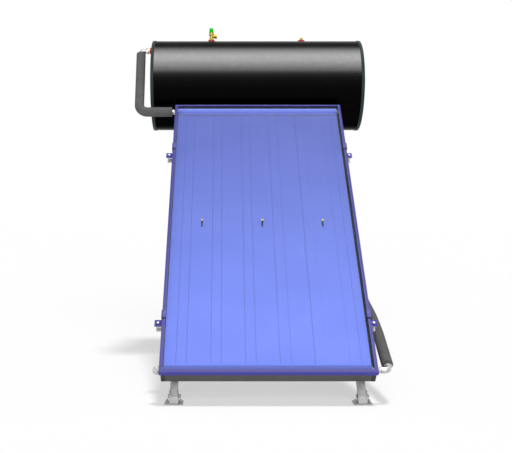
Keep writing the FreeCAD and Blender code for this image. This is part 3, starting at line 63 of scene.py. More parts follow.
# %% [markdown]
# The places that several pieces share are named once. The collector leans at 45 degrees, so a
# point on it is easiest to give as a distance across, a distance up the slope and a depth below
# its front face. One matrix then lays anything drawn flat onto the slope.

# %% Shared places, in metres
LOW_EDGE = Vector((0, -1.0114, 0.162))
TILT = radians(45)
SLOPE = Matrix.Translation(LOW_EDGE) @ Matrix.Rotation(TILT, 4, "X")
PANEL_HALF = 0.515
PANEL_LENGTH = 1.990
HEADER_INSET = 0.034
HEADER_DEPTH = 0.035
ABSORBER_DEPTH = 0.028
TANK_Y, TANK_Z = 0.7136, 1.725
TANK_RADIUS = 0.290
TANK_HALF = 0.675
RELIEF_X, VENT_X = -0.294, 0.298
FITTING_Z = 2.027
LEG_X, FOOT_Y = 0.447, 0.940
BODY = "heater"


def slope_point(x, s, depth):
    """The place of a point that is s up the slope and depth below the panel's front face."""
    return SLOPE @ Vector((x, s, -depth))


print("the collector's low front edge is at", [round(v, 4) for v in slope_point(0, 0, 0)])

# %% [markdown]
# ## Camera
#
# The viewer stands in front of the low edge, a little left of the middle, at about the height of
# a table. A long lens, from five metres away, keeps the sides of the panel nearly parallel. The
# sideways shift slides the picture without turning the camera, as a view camera's front does.

# %% Camera
camera = bpy.data.objects.new("camera", bpy.data.cameras.new("camera"))
bpy.context.collection.objects.link(camera)
camera.location = (-0.204, -5.0284, 0.944)
camera.rotation_euler = (radians(88.53), 0, 0)
camera.data.lens = 60.86
camera.data.sensor_width = 36
camera.data.shift_x = 0.0604
bpy.context.scene.camera = camera
print("camera at", tuple(round(v, 3) for v in camera.location))

# %% [markdown]
# ## Light
#
# A product stage has soft light from all round, one stronger lamp overhead and a broad one in
# front. The world gives the soft part and is plain white where the camera, a reflection or a
# glass sees it. The lamps are suns with wide discs, so shadows fall under the heater with soft
# edges. Together they light the panel at about one, at which a colour renders as it is written.
# The glass and the tank are smooth enough to mirror a lamp's disc as a spot, so light linking
# leaves them out. They still cast their shadows.

# %% World and lamps
bpy.context.scene.view_settings.view_transform = "Standard"
SKY_LEVEL = 0.27
OVERHEAD_LEVEL = 0.575
FRONT_LEVEL = 0.35

world = bpy.data.worlds.new("studio")
bpy.context.scene.world = world
world.use_nodes = True
tree = world.node_tree
tree.nodes.clear()


def seen_directly(tree):
    """A socket that is 1 for what the camera, a reflection or a glass sees, and 0 for light."""
    path = tree.nodes.new("ShaderNodeLightPath")
    seen = path.outputs["Is Camera Ray"]
    for ray in ("Is Glossy Ray", "Is Transmission Ray"):
        larger = tree.nodes.new("ShaderNodeMath")
        larger.operation = "MAXIMUM"
        tree.links.new(seen, larger.inputs[0])
        tree.links.new(path.outputs[ray], larger.inputs[1])
        seen = larger.outputs[0]
    return seen


choice = tree.nodes.new("ShaderNodeMixShader")
tree.links.new(seen_directly(tree), choice.inputs[0])
for place, strength in ((1, SKY_LEVEL), (2, 1.0)):
    background = tree.nodes.new("ShaderNodeBackground")
    background.inputs["Color"].default_value = (1, 1, 1, 1)
    background.inputs["Strength"].default_value = strength
    tree.links.new(background.outputs[0], choice.inputs[place])
tree.links.new(choice.outputs[0], tree.nodes.new("ShaderNodeOutputWorld").inputs["Surface"])


def add_sun(name, level, direction, spread):
    """A sun lamp that lights a surface facing it at the given level."""
    lamp = bpy.data.objects.new(name, bpy.data.lights.new(name, "SUN"))
    bpy.context.collection.objects.link(lamp)
    lamp.data.energy = level * pi
    lamp.data.angle = radians(spread)
    lamp.rotation_euler = Vector(direction).to_track_quat("Z", "Y").to_euler()
    return lamp


overhead = add_sun("overhead_lamp", OVERHEAD_LEVEL, (0.10, -0.03, 1), 9)
front = add_sun("front_lamp", FRONT_LEVEL, (0.06, -0.9, 0.5), 50)
mirrors = bpy.data.collections.new("mirrors")
for name in ("glass_pane", "tank_casing", "left_end_cover", "right_end_cover"):
    mirrors.objects.link(nodes[name])
for entry in mirrors.collection_objects:
    entry.light_linking.link_state = "EXCLUDE"
for lamp in (overhead, front):
    lamp.light_linking.receiver_collection = mirrors
print("sky", SKY_LEVEL, "overhead", OVERHEAD_LEVEL, "front", FRONT_LEVEL)

# %% [markdown]
# The tank's gloss black shows almost nothing but its own highlight: one long, soft band below
# the top. In a studio that band is the reflection of a long softbox hung high above. A softbox
# is brighter in its middle than at its edge, so three nested lights of growing width make it.
# Each hangs a little behind the one before, because a ray counts only one of two lights that
# lie in the same plane. They light only the tank, through light linking, and only by
# reflection, so nothing else changes.

# %% Softbox for the tank
BOX_ELEVATION = radians(66)
BOX_DISTANCE = 3.0
BOX_LENGTH = 10.0
BOX_SETBACK = 0.15
BOX_LAYERS = ((12, 55), (24, 57), (36, 76))
lit_by_box = bpy.data.collections.new("lit_by_box")
toward_box = Vector((0, -cos(BOX_ELEVATION), sin(BOX_ELEVATION)))
for layer, (half_angle, radiance) in enumerate(BOX_LAYERS):
    distance = BOX_DISTANCE + layer * BOX_SETBACK
    width = 2 * distance * tan(radians(half_angle))
    box = bpy.data.objects.new("tank_softbox", bpy.data.lights.new("tank_softbox", "AREA"))
    bpy.context.collection.objects.link(box)
    box.data.shape = "RECTANGLE"
    box.data.size, box.data.size_y = BOX_LENGTH, width
    box.data.energy = radiance * pi * BOX_LENGTH * width
    box.location = Vector((0, TANK_Y, TANK_Z)) + toward_box * distance
    box.rotation_euler = (pi / 2 - BOX_ELEVATION, 0, 0)
    box.visible_diffuse = False
    box.visible_camera = False
    box.light_linking.receiver_collection = lit_by_box
print("softbox", BOX_DISTANCE, "metres from the tank's axis")

# %% [markdown]
# ## A small kit for finishes
#
# A finish is a tree of shader nodes. Written out node by node it is long and hard to read, so a
# small class wraps a socket and lets plain arithmetic build the Math nodes. A second class holds
# one finish and makes every other node through one method.

# %% Shader kit
class Wire:
    """A node's output that can be used in arithmetic, like a number."""

    def __init__(self, finish, socket):
        self.finish, self.socket = finish, socket

    def math(self, operation, *values):
        return self.finish.node("ShaderNodeMath", {"operation": operation}, dict(enumerate(values)))

    def __add__(self, other): return self.math("ADD", self, other)
    def __radd__(self, other): return self.math("ADD", other, self)
    def __sub__(self, other): return self.math("SUBTRACT", self, other)
    def __rsub__(self, other): return self.math("SUBTRACT", other, self)
    def __mul__(self, other): return self.math("MULTIPLY", self, other)
    def __rmul__(self, other): return self.math("MULTIPLY", other, self)
    def __truediv__(self, other): return self.math("DIVIDE", self, other)
    def __abs__(self): return self.math("ABSOLUTE", self)

    def step(self, low, high):
        """0 below low, 1 above high, and a smooth slope between them."""
        return self.finish.node("ShaderNodeMapRange", {"interpolation_type": "SMOOTHSTEP"},
                                {"Value": self, "From Min": low, "From Max": high})


class Finish:
    """One procedural material, for the pieces that share it."""

    def __init__(self, name, colour, roughness=0.5, metallic=0.0, **constants):
        self.material = bpy.data.materials.new(name)
        self.material.use_nodes = True
        self.tree = self.material.node_tree
        self.shader = self.tree.nodes["Principled BSDF"]
        self.surface = Wire(self, self.shader.outputs[0])
        self.set(Base_Color=(*colour, 1), Roughness=roughness, Metallic=metallic, **constants)
        finishes[name] = self

    def set(self, **values):
        for key, value in values.items():
            self.put(self.shader.inputs[key.replace("_", " ")], value)

    def put(self, socket, value):
        if isinstance(value, Wire):
            self.tree.links.new(value.socket, socket)
        else:
            socket.default_value = value

    def node(self, kind, settings=None, values=None, output=0):
        made = self.tree.nodes.new(kind)
        for key, value in (settings or {}).items():
            if key == "stops":
                while len(made.color_ramp.elements) < len(value):
                    made.color_ramp.elements.new(0.5)
                for element, (position, colour) in zip(made.color_ramp.elements, value):
                    element.position = position
                    element.color = (*colour, 1)
            else:
                setattr(made, key, value)
        for key, value in (values or {}).items():
            self.put(made.inputs[key], value)
        return Wire(self, made.outputs[output])

    def place(self):
        return self.node("ShaderNodeTexCoord", output="Object")

    def axis(self, index):
        return self.node("ShaderNodeSeparateXYZ", values={0: self.place()}, output=index)

    def noise(self, scale, detail=2.0, stretch=(1, 1, 1), rough=0.5):
        spot = self.node("ShaderNodeMapping", values={"Vector": self.place(), "Scale": stretch})
        return self.node("ShaderNodeTexNoise",
                         values={"Vector": spot, "Scale": scale, "Detail": detail, "Roughness": rough})

    def cell_shades(self, scale):
        """A grey between 0 and 1 that is the same all over one crystal-like cell."""
        colour = self.node("ShaderNodeTexVoronoi", values={"Vector": self.place(), "Scale": scale},
                           output="Color")
        return self.node("ShaderNodeSeparateColor", values={0: colour})

    def ramp(self, factor, *stops):
        return self.node("ShaderNodeValToRGB", {"stops": stops}, {"Fac": factor})

    def blend(self, factor, first, second):
        pair = [c if isinstance(c, Wire) else (*c, 1) for c in (first, second)]
        return self.node("ShaderNodeMix", {"data_type": "RGBA"},
                         {0: factor, 6: pair[0], 7: pair[1]}, output=2)

    def bump(self, height, distance):
        """Raise the surface by up to distance, in metres, where height is 1."""
        self.set(Normal=self.node("ShaderNodeBump", values={"Height": height, "Strength": 1.0,
                                                             "Distance": distance}))

    def mix_shaders(self, factor, first, second):
        """Show the first shader where the factor is 0 and the second where it is 1."""
        mixed = self.node("ShaderNodeMixShader", values={0: factor, 1: first, 2: second})
        self.put(self.tree.nodes["Material Output"].inputs["Surface"], mixed)


finishes = {}


def shades(colour, spread):
    """A darker and a lighter shade of one colour."""
    return (tuple(c * (1 - spread) for c in colour), tuple(min(1.0, c * (1 + spread)) for c in colour))


print("shader kit ready")

# %% [markdown]
# ## Floor
#
# The floor is one pale sheet, large enough to run out of sight. Part of its white comes straight
# from the material where the camera or a reflection sees it, as on a lit light table, so shadows
# stay visible but pale. The rest is an ordinary matt white that takes the lamps' light.

# %% Floor
FLOOR_GLOW = 0.45
bpy.ops.object.select_all(action="DESELECT")
bpy.ops.mesh.primitive_plane_add(size=60, location=(0, 0, 0))
floor = bpy.context.object
floor.name = "floor"

paper = Finish("studio_floor", (0.97, 0.97, 0.97), 0.9, Specular_IOR_Level=0.0)
paper.set(Base_Color=paper.blend(paper.noise(0.3), (0.97, 0.97, 0.97), (0.99, 0.99, 0.99)))
lit = paper.node("ShaderNodeEmission", values={"Strength": 1.0})
paper.mix_shaders(Wire(paper, seen_directly(paper.tree)) * FLOOR_GLOW, paper.surface, lit)
floor.data.materials.append(paper.material)
print("floor", floor.dimensions[0], "metres wide")

# %% [markdown]
# ## A small kit for modelling
#
# Every new piece starts as one of Blender's primitives and is shaped in edit mode, as by hand.
# By hand you click on the faces and edges to work on. In a script you select them by where they
# are, and deselect everything else first, because an operator acts on all that is selected.

# %% Selecting and finishing pieces
made = []


def only(piece):
    """Select one object and nothing else."""
    bpy.ops.object.select_all(action="DESELECT")
    piece.select_set(True)
    bpy.context.view_layer.objects.active = piece


def pick(piece, kind, wanted):
    """In edit mode, select the verts, edges or faces that are wanted, and nothing else."""
    bpy.ops.mesh.select_mode(type={"verts": "VERT", "edges": "EDGE", "faces": "FACE"}[kind])
    bpy.ops.mesh.select_all(action="DESELECT")
    shape = bmesh.from_edit_mesh(piece.data)
    count = 0
    for item in getattr(shape, kind):
        if wanted(item):
            item.select_set(True)
            count += 1
    bmesh.update_edit_mesh(piece.data)
    return count


def close_up():
    """In edit mode, merge doubled points and turn all faces outwards, then leave edit mode."""
    bpy.ops.mesh.select_all(action="SELECT")
    bpy.ops.mesh.remove_doubles(threshold=1e-6)
    bpy.ops.mesh.normals_make_consistent(inside=False)
    bpy.ops.object.mode_set(mode="OBJECT")


def settle(piece, matrix=None):
    """Put a piece in its place and write that place into its mesh."""
    if matrix is not None:
        piece.matrix_world = matrix @ piece.matrix_world
    only(piece)
    bpy.ops.object.transform_apply(location=True, rotation=True, scale=True)


def round_edges(piece, width, segments=2, angle=50):
    """Round every edge sharper than an angle with a Bevel modifier, and apply it."""
    only(piece)
    bevel = piece.modifiers.new("rounding", "BEVEL")
    bevel.width = width
    bevel.segments = segments
    bevel.limit_method = "ANGLE"
    bevel.angle_limit = radians(angle)
    bpy.ops.object.modifier_apply(modifier=bevel.name)


def join(name, pieces):
    """Make one piece of several."""
    bpy.ops.object.select_all(action="DESELECT")
    for piece in pieces:
        piece.select_set(True)
    bpy.context.view_layer.objects.active = pieces[0]
    bpy.ops.object.join()
    pieces[0].name = pieces[0].data.name = name
    return pieces[0]


def keep(piece, name, finish, replaced=(), body=BODY, smooth=30):
    """Name a finished piece, smooth it, dress it, and fix it to its body if it has only one."""
    only(piece)
    piece.name = piece.data.name = name
    bpy.ops.object.shade_smooth_by_angle(angle=radians(smooth))
    piece["finish"] = finish
    if body:
        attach(piece, body)
    if replaced:
        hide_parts(*replaced)
    made.append(piece)
    print(name, len(piece.data.polygons), "faces")
    return piece


print("modelling kit ready")

# %% [markdown]
# Turned parts, such as valve bodies, washers and gaskets, come off a lathe. Here a round face is
# extruded along the axis and resized at each step, so a list of radii and heights is the whole
# drawing. A ring with nothing in the middle is a loop of edges that is extruded round a closed
# outline and merged with its start. Both are drawn upright at the origin and then laid in place.

# %% Turning, hoops and nuts
def aim(start, direction):
    """The matrix that lays a piece drawn upright at the origin at a start, along a direction."""
    return Matrix.Translation(start) @ Vector(direction).to_track_quat("Z", "Y").to_matrix().to_4x4()


def turn(outline, start, direction=(0, 0, 1), sides=32):
    """A solid of (radius, height) steps: a round face, extruded and resized again and again."""
    radius, height = outline[0]
    bpy.ops.object.select_all(action="DESELECT")
    bpy.ops.mesh.primitive_circle_add(vertices=sides, radius=radius, fill_type="NGON",
                                      location=(0, 0, height))
    piece = bpy.context.object
    settle(piece)
    bpy.ops.object.mode_set(mode="EDIT")
    bpy.ops.mesh.select_mode(type="FACE")
    bpy.ops.mesh.select_all(action="SELECT")
    for (old_radius, old_height), (radius, height) in zip(outline, outline[1:]):
        bpy.ops.mesh.extrude_region_move(
            TRANSFORM_OT_translate={"value": (0, 0, height - old_height)})
        factor = radius / old_radius
        bpy.ops.transform.resize(value=(factor, factor, 1), center_override=(0, 0, height))
    close_up()
    settle(piece, aim(start, direction))
    return piece


def hoop(half_x, half_y, outline, matrix, sides=0):
    """A ring round the origin, extruded through a closed outline of (inset, height) corners.

    With sides it is a round ring and half_x is its radius, otherwise it is a rectangle."""
    bpy.ops.object.select_all(action="DESELECT")
    if sides:
        bpy.ops.mesh.primitive_circle_add(vertices=sides, radius=half_x, fill_type="NOTHING")
    else:
        bpy.ops.mesh.primitive_plane_add(size=2)
    piece = bpy.context.object
    piece.scale = (1, 1, 1) if sides else (half_x, half_y, 1)
    settle(piece)
    bpy.ops.object.mode_set(mode="EDIT")
    bpy.ops.mesh.select_mode(type="EDGE")
    bpy.ops.mesh.select_all(action="SELECT")
    if not sides:
        bpy.ops.mesh.delete(type="ONLY_FACE")
        bpy.ops.mesh.select_all(action="SELECT")
    for (old_inset, old_height), (inset, height) in zip(outline, outline[1:] + outline[:1]):
        bpy.ops.mesh.extrude_edges_move(
            TRANSFORM_OT_translate={"value": (0, 0, height - old_height)})
        factors = [(half - inset) / (half - old_inset) for half in (half_x, half_y)]
        bpy.ops.transform.resize(value=(*factors, 1), center_override=(0, 0, height))
    bpy.ops.mesh.select_all(action="SELECT")
    bpy.ops.transform.translate(value=(0, 0, outline[0][1]))
    close_up()
    settle(piece, matrix)
    return piece


def hex_nut(flats, length, start, direction, chamfer=0.0012):
    """A hexagon nut: a six-sided cylinder whose two ends are bevelled."""
    bpy.ops.object.select_all(action="DESELECT")
    bpy.ops.mesh.primitive_cylinder_add(vertices=6, radius=flats / 2 / cos(pi / 6), depth=length,
                                        location=(0, 0, length / 2))
    piece = bpy.context.object
    settle(piece)
    bpy.ops.object.mode_set(mode="EDIT")
    pick(piece, "edges", lambda edge: abs(edge.verts[0].co.z - edge.verts[1].co.z) < 1e-6)
    bpy.ops.mesh.bevel(offset=chamfer, segments=2, affect="EDGES")
    close_up()
    settle(piece, aim(start, direction))
    return piece


def block(x0, x1, y0, y1, z0, z1):
    """A cube added at the size and place of a block between two corners."""
    bpy.ops.object.select_all(action="DESELECT")
    bpy.ops.mesh.primitive_cube_add(size=1, location=((x0 + x1) / 2, (y0 + y1) / 2, (z0 + z1) / 2))
    piece = bpy.context.object
    piece.scale = (x1 - x0, y1 - y0, z1 - z0)
    settle(piece)
    return piece


print("turning, hoops, nuts and blocks ready")

# %% [markdown]
# Folded sheet and drawn tube have no knife edges: every fold has a small radius, and it is the
# thin line of light along that radius that makes metal look like metal. The engineering parts
# have sharp edges and arrive as loose triangles. A merged copy of a part gets its flat faces
# dissolved into single ones, and then its sharp edges can be rounded as on a hand-made mesh.

# %% Rounded copies of engineering parts
FLAT_ENOUGH = radians(0.6)


def opened_copy(node, name):
    """A copy of an engineering part, in edit mode, with its facets joined into one surface."""
    piece = bpy.data.objects.new(name, nodes[node].data.copy())
    bpy.context.collection.objects.link(piece)
    only(piece)
    bpy.ops.mesh.customdata_custom_splitnormals_clear()
    bpy.ops.object.mode_set(mode="EDIT")
    bpy.ops.mesh.select_all(action="SELECT")
    bpy.ops.mesh.remove_doubles(threshold=1e-5)
    return piece


def merged_copy(node, name):
    """The same copy, back in object mode."""
    piece = opened_copy(node, name)
    bpy.ops.object.mode_set(mode="OBJECT")
    return piece


def rounded_copy(node, finish, width, body=BODY):
    """A merged copy with flat faces and rounded edges, which takes the part's place."""
    piece = merged_copy(node, node + "_rounded")
    bpy.ops.object.mode_set(mode="EDIT")
    bpy.ops.mesh.select_all(action="SELECT")
    bpy.ops.mesh.dissolve_limited(angle_limit=FLAT_ENOUGH)
    bpy.ops.object.mode_set(mode="OBJECT")
    round_edges(piece, width)
    return keep(piece, node + "_rounded", finish, (node,), body)


print("rounded copies ready")

# %% [markdown]
# ## Panel frame
#
# The blue frame is an aluminium profile, sawn at 45 degrees and joined at the corners. Its front
# falls away towards the outside in a soft curve and has a flat inner strip that grips the glass.
# One rectangular hoop gives the profile all the way round. The bisect tool then cuts the mitres,
# a hair's breadth open, so each bar ends where its neighbour begins. The side bars are drilled
# where the headers come out.

# %% Frame bars
PROFILE = [(0, -0.027), (0, -0.0070), (0.0006, -0.0048), (0.0022, -0.0030), (0.0045, -0.0016),
           (0.0070, -0.0008), (0.0078, 0.0), (0.0086, 0.0004), (0.0170, 0.0004), (0.0175, 0.0),
           (0.0175, -0.0025), (0.0095, -0.0028), (0.0034, -0.0066), (0.0025, -0.0090),
           (0.0025, -0.0250), (0.0070, -0.0250), (0.0070, -0.0270)]
MITRE_GAP = 0.00015
PORT_RADIUS = 0.0175
DRILL_LENGTH = 0.030
left, right, low, high = -PANEL_HALF, PANEL_HALF, 0, PANEL_LENGTH
MITRES = {
    "frame_left": [((left, low), (1, -1)), ((left, high), (1, 1))],
    "frame_right": [((right, low), (-1, -1)), ((right, high), (-1, 1))],
    "frame_bottom": [((left, low), (-1, 1)), ((right, low), (1, 1))],
    "frame_top": [((left, high), (-1, -1)), ((right, high), (1, -1))],
}


def drill(piece, cutter):
    """Cut a cutter out of a piece with a Boolean modifier, apply it and remove the cutter."""
    only(piece)
    hole = piece.modifiers.new("hole", "BOOLEAN")
    hole.operation = "DIFFERENCE"
    hole.solver = "EXACT"
    hole.object = cutter
    bpy.ops.object.modifier_apply(modifier=hole.name)
    bpy.data.objects.remove(cutter)


for bar, cuts in MITRES.items():
    profile = hoop(PANEL_HALF, PANEL_LENGTH / 2, PROFILE,
                   Matrix.Translation((0, PANEL_LENGTH / 2, 0)))
    only(profile)
    bpy.ops.object.mode_set(mode="EDIT")
    for (x, s), (across, along) in cuts:
        normal = Vector((across, along, 0)).normalized()
        bpy.ops.mesh.select_all(action="SELECT")
        bpy.ops.mesh.bisect(plane_co=Vector((x, s, 0)) - normal * MITRE_GAP, plane_no=normal,
                            clear_outer=True, use_fill=True)
    close_up()
    if bar in ("frame_left", "frame_right"):
        side = -1 if bar == "frame_left" else 1
        for s in (HEADER_INSET, PANEL_LENGTH - HEADER_INSET):
            port = turn([(PORT_RADIUS, 0), (PORT_RADIUS, DRILL_LENGTH)],
                        (side * (PANEL_HALF - DRILL_LENGTH / 2), s, -HEADER_DEPTH), (side, 0, 0), 40)
            drill(profile, port)
    settle(profile, SLOPE)
    keep(profile, bar + "_profile", "blue_paint", (bar,))

# %% [markdown]
# ## Weld spots
#
# Each copper riser lies behind the blue sheet and is held by two rows of small spot welds. Every
# spot shows on the front as a shallow dome. There are over a thousand, so one dome gets only two
# rings of eight faces, and an Array modifier repeats it up the slope. The electrode didn't press
# all rows alike, so each row has its own radius, and the last three risers' rows stand wider.

# %% Weld spots on the absorber
SPOT_PITCH = 0.01835
SPOT_START = 0.070
SPOT_COUNT = 101
SPOT_RADII = (0.0031, 0.0031, 0.0032, 0.0031, 0.0030, 0.0030, 0.0031, 0.0024, 0.0034, 0.0016, 0.0021,
              0.0028)
ROW_PITCH = 0.1664
ROW_OFFSETS = (-0.025, 0.025)
WIDE_ROWS = 1.08
ROW_DRIFT = 0.0025

rows = []
for number, radius in enumerate(SPOT_RADII):
    riser, side = divmod(number, 2)
    spread = ROW_OFFSETS[side] * (WIDE_ROWS if riser > 2 else 1)
    x = (riser - 2.5) * ROW_PITCH + spread + ROW_DRIFT
    row = turn([(radius, -0.0003), (radius * 0.86, 0.0005), (radius * 0.45, 0.0010)],
               (x, SPOT_START, -ABSORBER_DEPTH), sides=8)
    only(row)
    repeat = row.modifiers.new("repeat", "ARRAY")
    repeat.count = SPOT_COUNT
    repeat.use_relative_offset = False
    repeat.use_constant_offset = True
    repeat.constant_offset_displace = (0, SPOT_PITCH, 0)
    bpy.ops.object.modifier_apply(modifier=repeat.name)
    rows.append(row)
spots = join("weld_spots", rows)
settle(spots, SLOPE)
keep(spots, "weld_spots", "weld_marks")

# %% [markdown]
# ## Glass posts
#
# Three small posts stand on the absorber and keep the wide glass from sagging onto it. Each has
# a turned head, a slim stem, and a flat dark clip down the slope below it, which stands in for the
# post's shadow on the sheet as painted shadow.

# %% Posts under the glass
POST_PITCH = 0.330
posts = []
for x in (-POST_PITCH, 0, POST_PITCH):
    stem = turn([(0.0045, 0), (0.0045, 0.0002), (0.0030, 0.0015), (0.0030, 0.0140), (0.0056, 0.0152),
                 (0.0064, 0.0160), (0.0064, 0.0188), (0.0056, 0.0196), (0.002, 0.0198)],
                (x, PANEL_LENGTH / 2, -ABSORBER_DEPTH), sides=20)
    # painted shadow: a dark clip down the slope from the post
    shadow_clip = block(x - 0.004, x + 0.004, PANEL_LENGTH / 2 - 0.034, PANEL_LENGTH / 2 - 0.003,
                 -ABSORBER_DEPTH - 0.0002, -ABSORBER_DEPTH + 0.0012)
    round_edges(shadow_clip, 0.0005)
    posts += [stem, shadow_clip]
posts = join("glass_posts", posts)
settle(posts, SLOPE)
keep(posts, "glass_posts", "post_metal", ("glass_support_posts",))

# %% [markdown]
# ## Stand
#
# The legs, posts, arms and struts are rectangular steel tube, the cross rails are folded channel,
# and the braces are flat bar, all hot-dip galvanised. Long folds get the radius of the tube's
# corner. The sawn ends get a fine edge break, as a file would leave.

# %% Fold radii on tubes, rails and brackets
TUBE_CORNER = 0.0024
CHANNEL_FOLD = 0.0020
SAWN_EDGE = 0.0006
LONG_EDGE = 0.15
SHARP_ANGLE = 1.0


def is_fold(edge):
    """Whether an edge runs along a tube or rail and has a sharp angle, in radians."""
    return edge.calc_length() > LONG_EDGE and edge.calc_face_angle(0) > SHARP_ANGLE


def folded_copy(node, fold):
    """A rounded copy in galvanised steel whose long edges are real folds with a larger radius."""
    piece = opened_copy(node, node + "_folded")
    bpy.ops.mesh.dissolve_limited(angle_limit=FLAT_ENOUGH)
    count = pick(piece, "edges", is_fold)
    bpy.ops.mesh.bevel(offset=fold, segments=3, affect="EDGES", clamp_overlap=True)
    bpy.ops.object.mode_set(mode="OBJECT")
    round_edges(piece, SAWN_EDGE)
    print(node, "has", count, "long folds")
    return keep(piece, node + "_folded", "galvanised_steel", (node,))


for tube in ("left_sloping_beam", "right_sloping_beam", "left_rear_post", "right_rear_post",
             "tank_arms", "diagonal_struts"):
    folded_copy(tube, TUBE_CORNER)
folded_copy("cross_rails", CHANNEL_FOLD)
rounded_copy("rear_cross_braces", "galvanised_steel", 0.0010)
rounded_copy("tank_saddles", "galvanised_steel", 0.0009)
rounded_copy("collector_clamps", "blue_paint", 0.0008)

# %% [markdown]
# Under each hook lies a thin strip in the black rubber finish, folded round the frame's corner.
# It stands in for the hook's shadow on the frame, as painted shadow, and its end shows below the
# hook as a dark line.

# %% Painted shadow strips under the clamp hooks
CLAMP_PLACES = (0.343, 1.598)
STRIP_INNER, STRIP_CORNER, STRIP_OUTER = 0.4952, 0.5152, 0.5172
shadow_strips = []
for s in CLAMP_PLACES:
    for side in (-1, 1):
        strip_low, strip_high = s - 0.0305, s - 0.0225
        x0, x1 = sorted((side * STRIP_INNER, side * STRIP_OUTER))
        face_strip = block(x0, x1, strip_low, strip_high, 0.0006, 0.0026)
        x0, x1 = sorted((side * STRIP_CORNER, side * STRIP_OUTER))
        side_strip = block(x0, x1, strip_low, strip_high, -0.0240, 0.0016)
        shadow_strips += [face_strip, side_strip]
shadow_strips = join("clamp_shadow_strips", shadow_strips)
round_edges(shadow_strips, 0.0006)
settle(shadow_strips, SLOPE)
# painted shadow: the dark strips take the black rubber finish
keep(shadow_strips, "clamp_shadow_strips", "black_rubber")

# %% [markdown]
# Bolt heads and nuts are chamfered so that they don't cut a hand. A fine bevel on every sharp
# edge does it for all of them at once.

# %% Bolts and nuts
for fastener in ("stand_bolts", "clamp_bolts", "foot_pivot_bolts"):
    rounded_copy(fastener, "zinc_bolts", 0.0007)

# %% [markdown]
# ## Feet
#
# Each leg stands in a folded bracket, and two anchors, one each side of the leg, hold the bracket
# down. The anchors belong to the ground, so the engineering part only has their holes. Here each
# hole gets a washer, a nut and the end of a threaded rod, and they tilt with their bracket.

# %% Brackets and anchors
ANCHOR_OFFSET = 0.032
PLATE_TOP = 0.004
WASHER_TOP = 0.0017
THREAD_PITCH = 0.0012
for name, hand, end in (("front_left", -1, -1), ("front_right", 1, -1),
                        ("rear_left", -1, 1), ("rear_right", 1, 1)):
    bracket = name + "_foot_bracket"
    rounded_copy(name + "_foot", "galvanised_steel", 0.0008, bracket)
    anchors = []
    for offset in (-ANCHOR_OFFSET, ANCHOR_OFFSET):
        centre = Vector((hand * LEG_X + offset, end * FOOT_Y, PLATE_TOP))
        washer = turn([(0.0092, 0.0001), (0.0098, 0.0004), (0.0098, 0.0014), (0.0092, WASHER_TOP),
                       (0.0050, WASHER_TOP)], centre, sides=24)
        nut = hex_nut(0.0130, 0.0070, centre + Vector((0, 0, WASHER_TOP)), (0, 0, 1))
        rod_steps = [(0.0044, 0.0)]
        for ridge in range(5):
            height = 0.0095 + ridge * THREAD_PITCH
            rod_steps += [(0.0044, height), (0.0049, height + 0.0004), (0.0044, height + 0.0008)]
        rod = turn(rod_steps + [(0.0036, 0.0162)], centre, sides=16)
        anchors += [washer, nut, rod]
    keep(join(name + "_anchors", anchors), name + "_anchors", "galvanised_steel", body=bracket)

# %% [markdown]
# ## Tank rims
#
# Each end cover is held by a rolled rim. Its front corner is round and its back edge is rolled
# into a thin bead that grips the casing. A hoop with a round start gives it in one piece. The
# casing's sheet is bent into a tube, and its edges meet in a flat seam, low on the back.

# %% Tank rims and casing seam
RIM_RADIUS = 0.2925
RIM = [(0.0, -0.0205), (-0.0007, -0.0200), (-0.0007, -0.0190), (0.0, -0.0185), (0.0, -0.0062),
       (0.0007, -0.0032), (0.0022, -0.0012), (0.0046, 0.0), (0.0205, 0.0), (0.0220, -0.0005),
       (0.0225, -0.0019), (0.0060, -0.0019), (0.0030, -0.0032), (0.0022, -0.0060),
       (0.0022, -0.0205)]
rims = [hoop(RIM_RADIUS, RIM_RADIUS, RIM,
             aim((side * TANK_HALF, TANK_Y, TANK_Z), (side, 0, 0)), sides=160) for side in (-1, 1)]
keep(join("rolled_rims", rims), "rolled_rims", "rim_trim", ("end_rims",))

SEAM_ANGLE = radians(-35)
SEAM_HALF = 0.652
seam = block(-SEAM_HALF, SEAM_HALF, -0.006, 0.006, -0.0006, 0.0012)
round_edges(seam, 0.0006)
outwards = Vector((0, cos(SEAM_ANGLE), sin(SEAM_ANGLE)))
settle(seam, Matrix.Translation(Vector((0, TANK_Y, TANK_Z)) + outwards * TANK_RADIUS)
       @ Matrix.Rotation(SEAM_ANGLE - pi / 2, 4, "X"))
seam = keep(seam, "casing_seam", "black_enamel")

# %% [markdown]
# ## Relief valve and vent
#
# The safety valve is turned from brass bar: a flange below, a slim waist, a collar that carries
# the green test cap, and an outlet at the side that ends in a wider socket. The vent is a small
# hexagon plug with a round top.

# %% Relief valve body and vent plug
valve_base = Vector((RELIEF_X, TANK_Y, FITTING_Z))
valve = turn([(0.0148, 0), (0.0155, 0.0008), (0.0155, 0.0072), (0.0148, 0.0080), (0.0126, 0.0108),
              (0.0120, 0.0120), (0.0120, 0.0275), (0.0134, 0.0290), (0.0160, 0.0304),
              (0.0168, 0.0314), (0.0168, 0.0440), (0.0160, 0.0452), (0.0140, 0.0468),
              (0.0060, 0.0470)], valve_base, sides=48)
outlet = turn([(0.0108, 0), (0.0108, 0.0110), (0.0142, 0.0120), (0.0152, 0.0130), (0.0152, 0.0268),
               (0.0144, 0.0278), (0.0108, 0.0280), (0.0094, 0.0268), (0.0094, 0.0130),
               (0.0040, 0.0128)], valve_base + Vector((0.008, 0, 0.024)), (1, 0, 0), sides=48)
keep(join("valve_body", [valve, outlet]), "valve_body", "brass", ("relief_valve_body",))
rounded_copy("relief_valve_cap", "green_plastic", 0.0005, "test_cap")

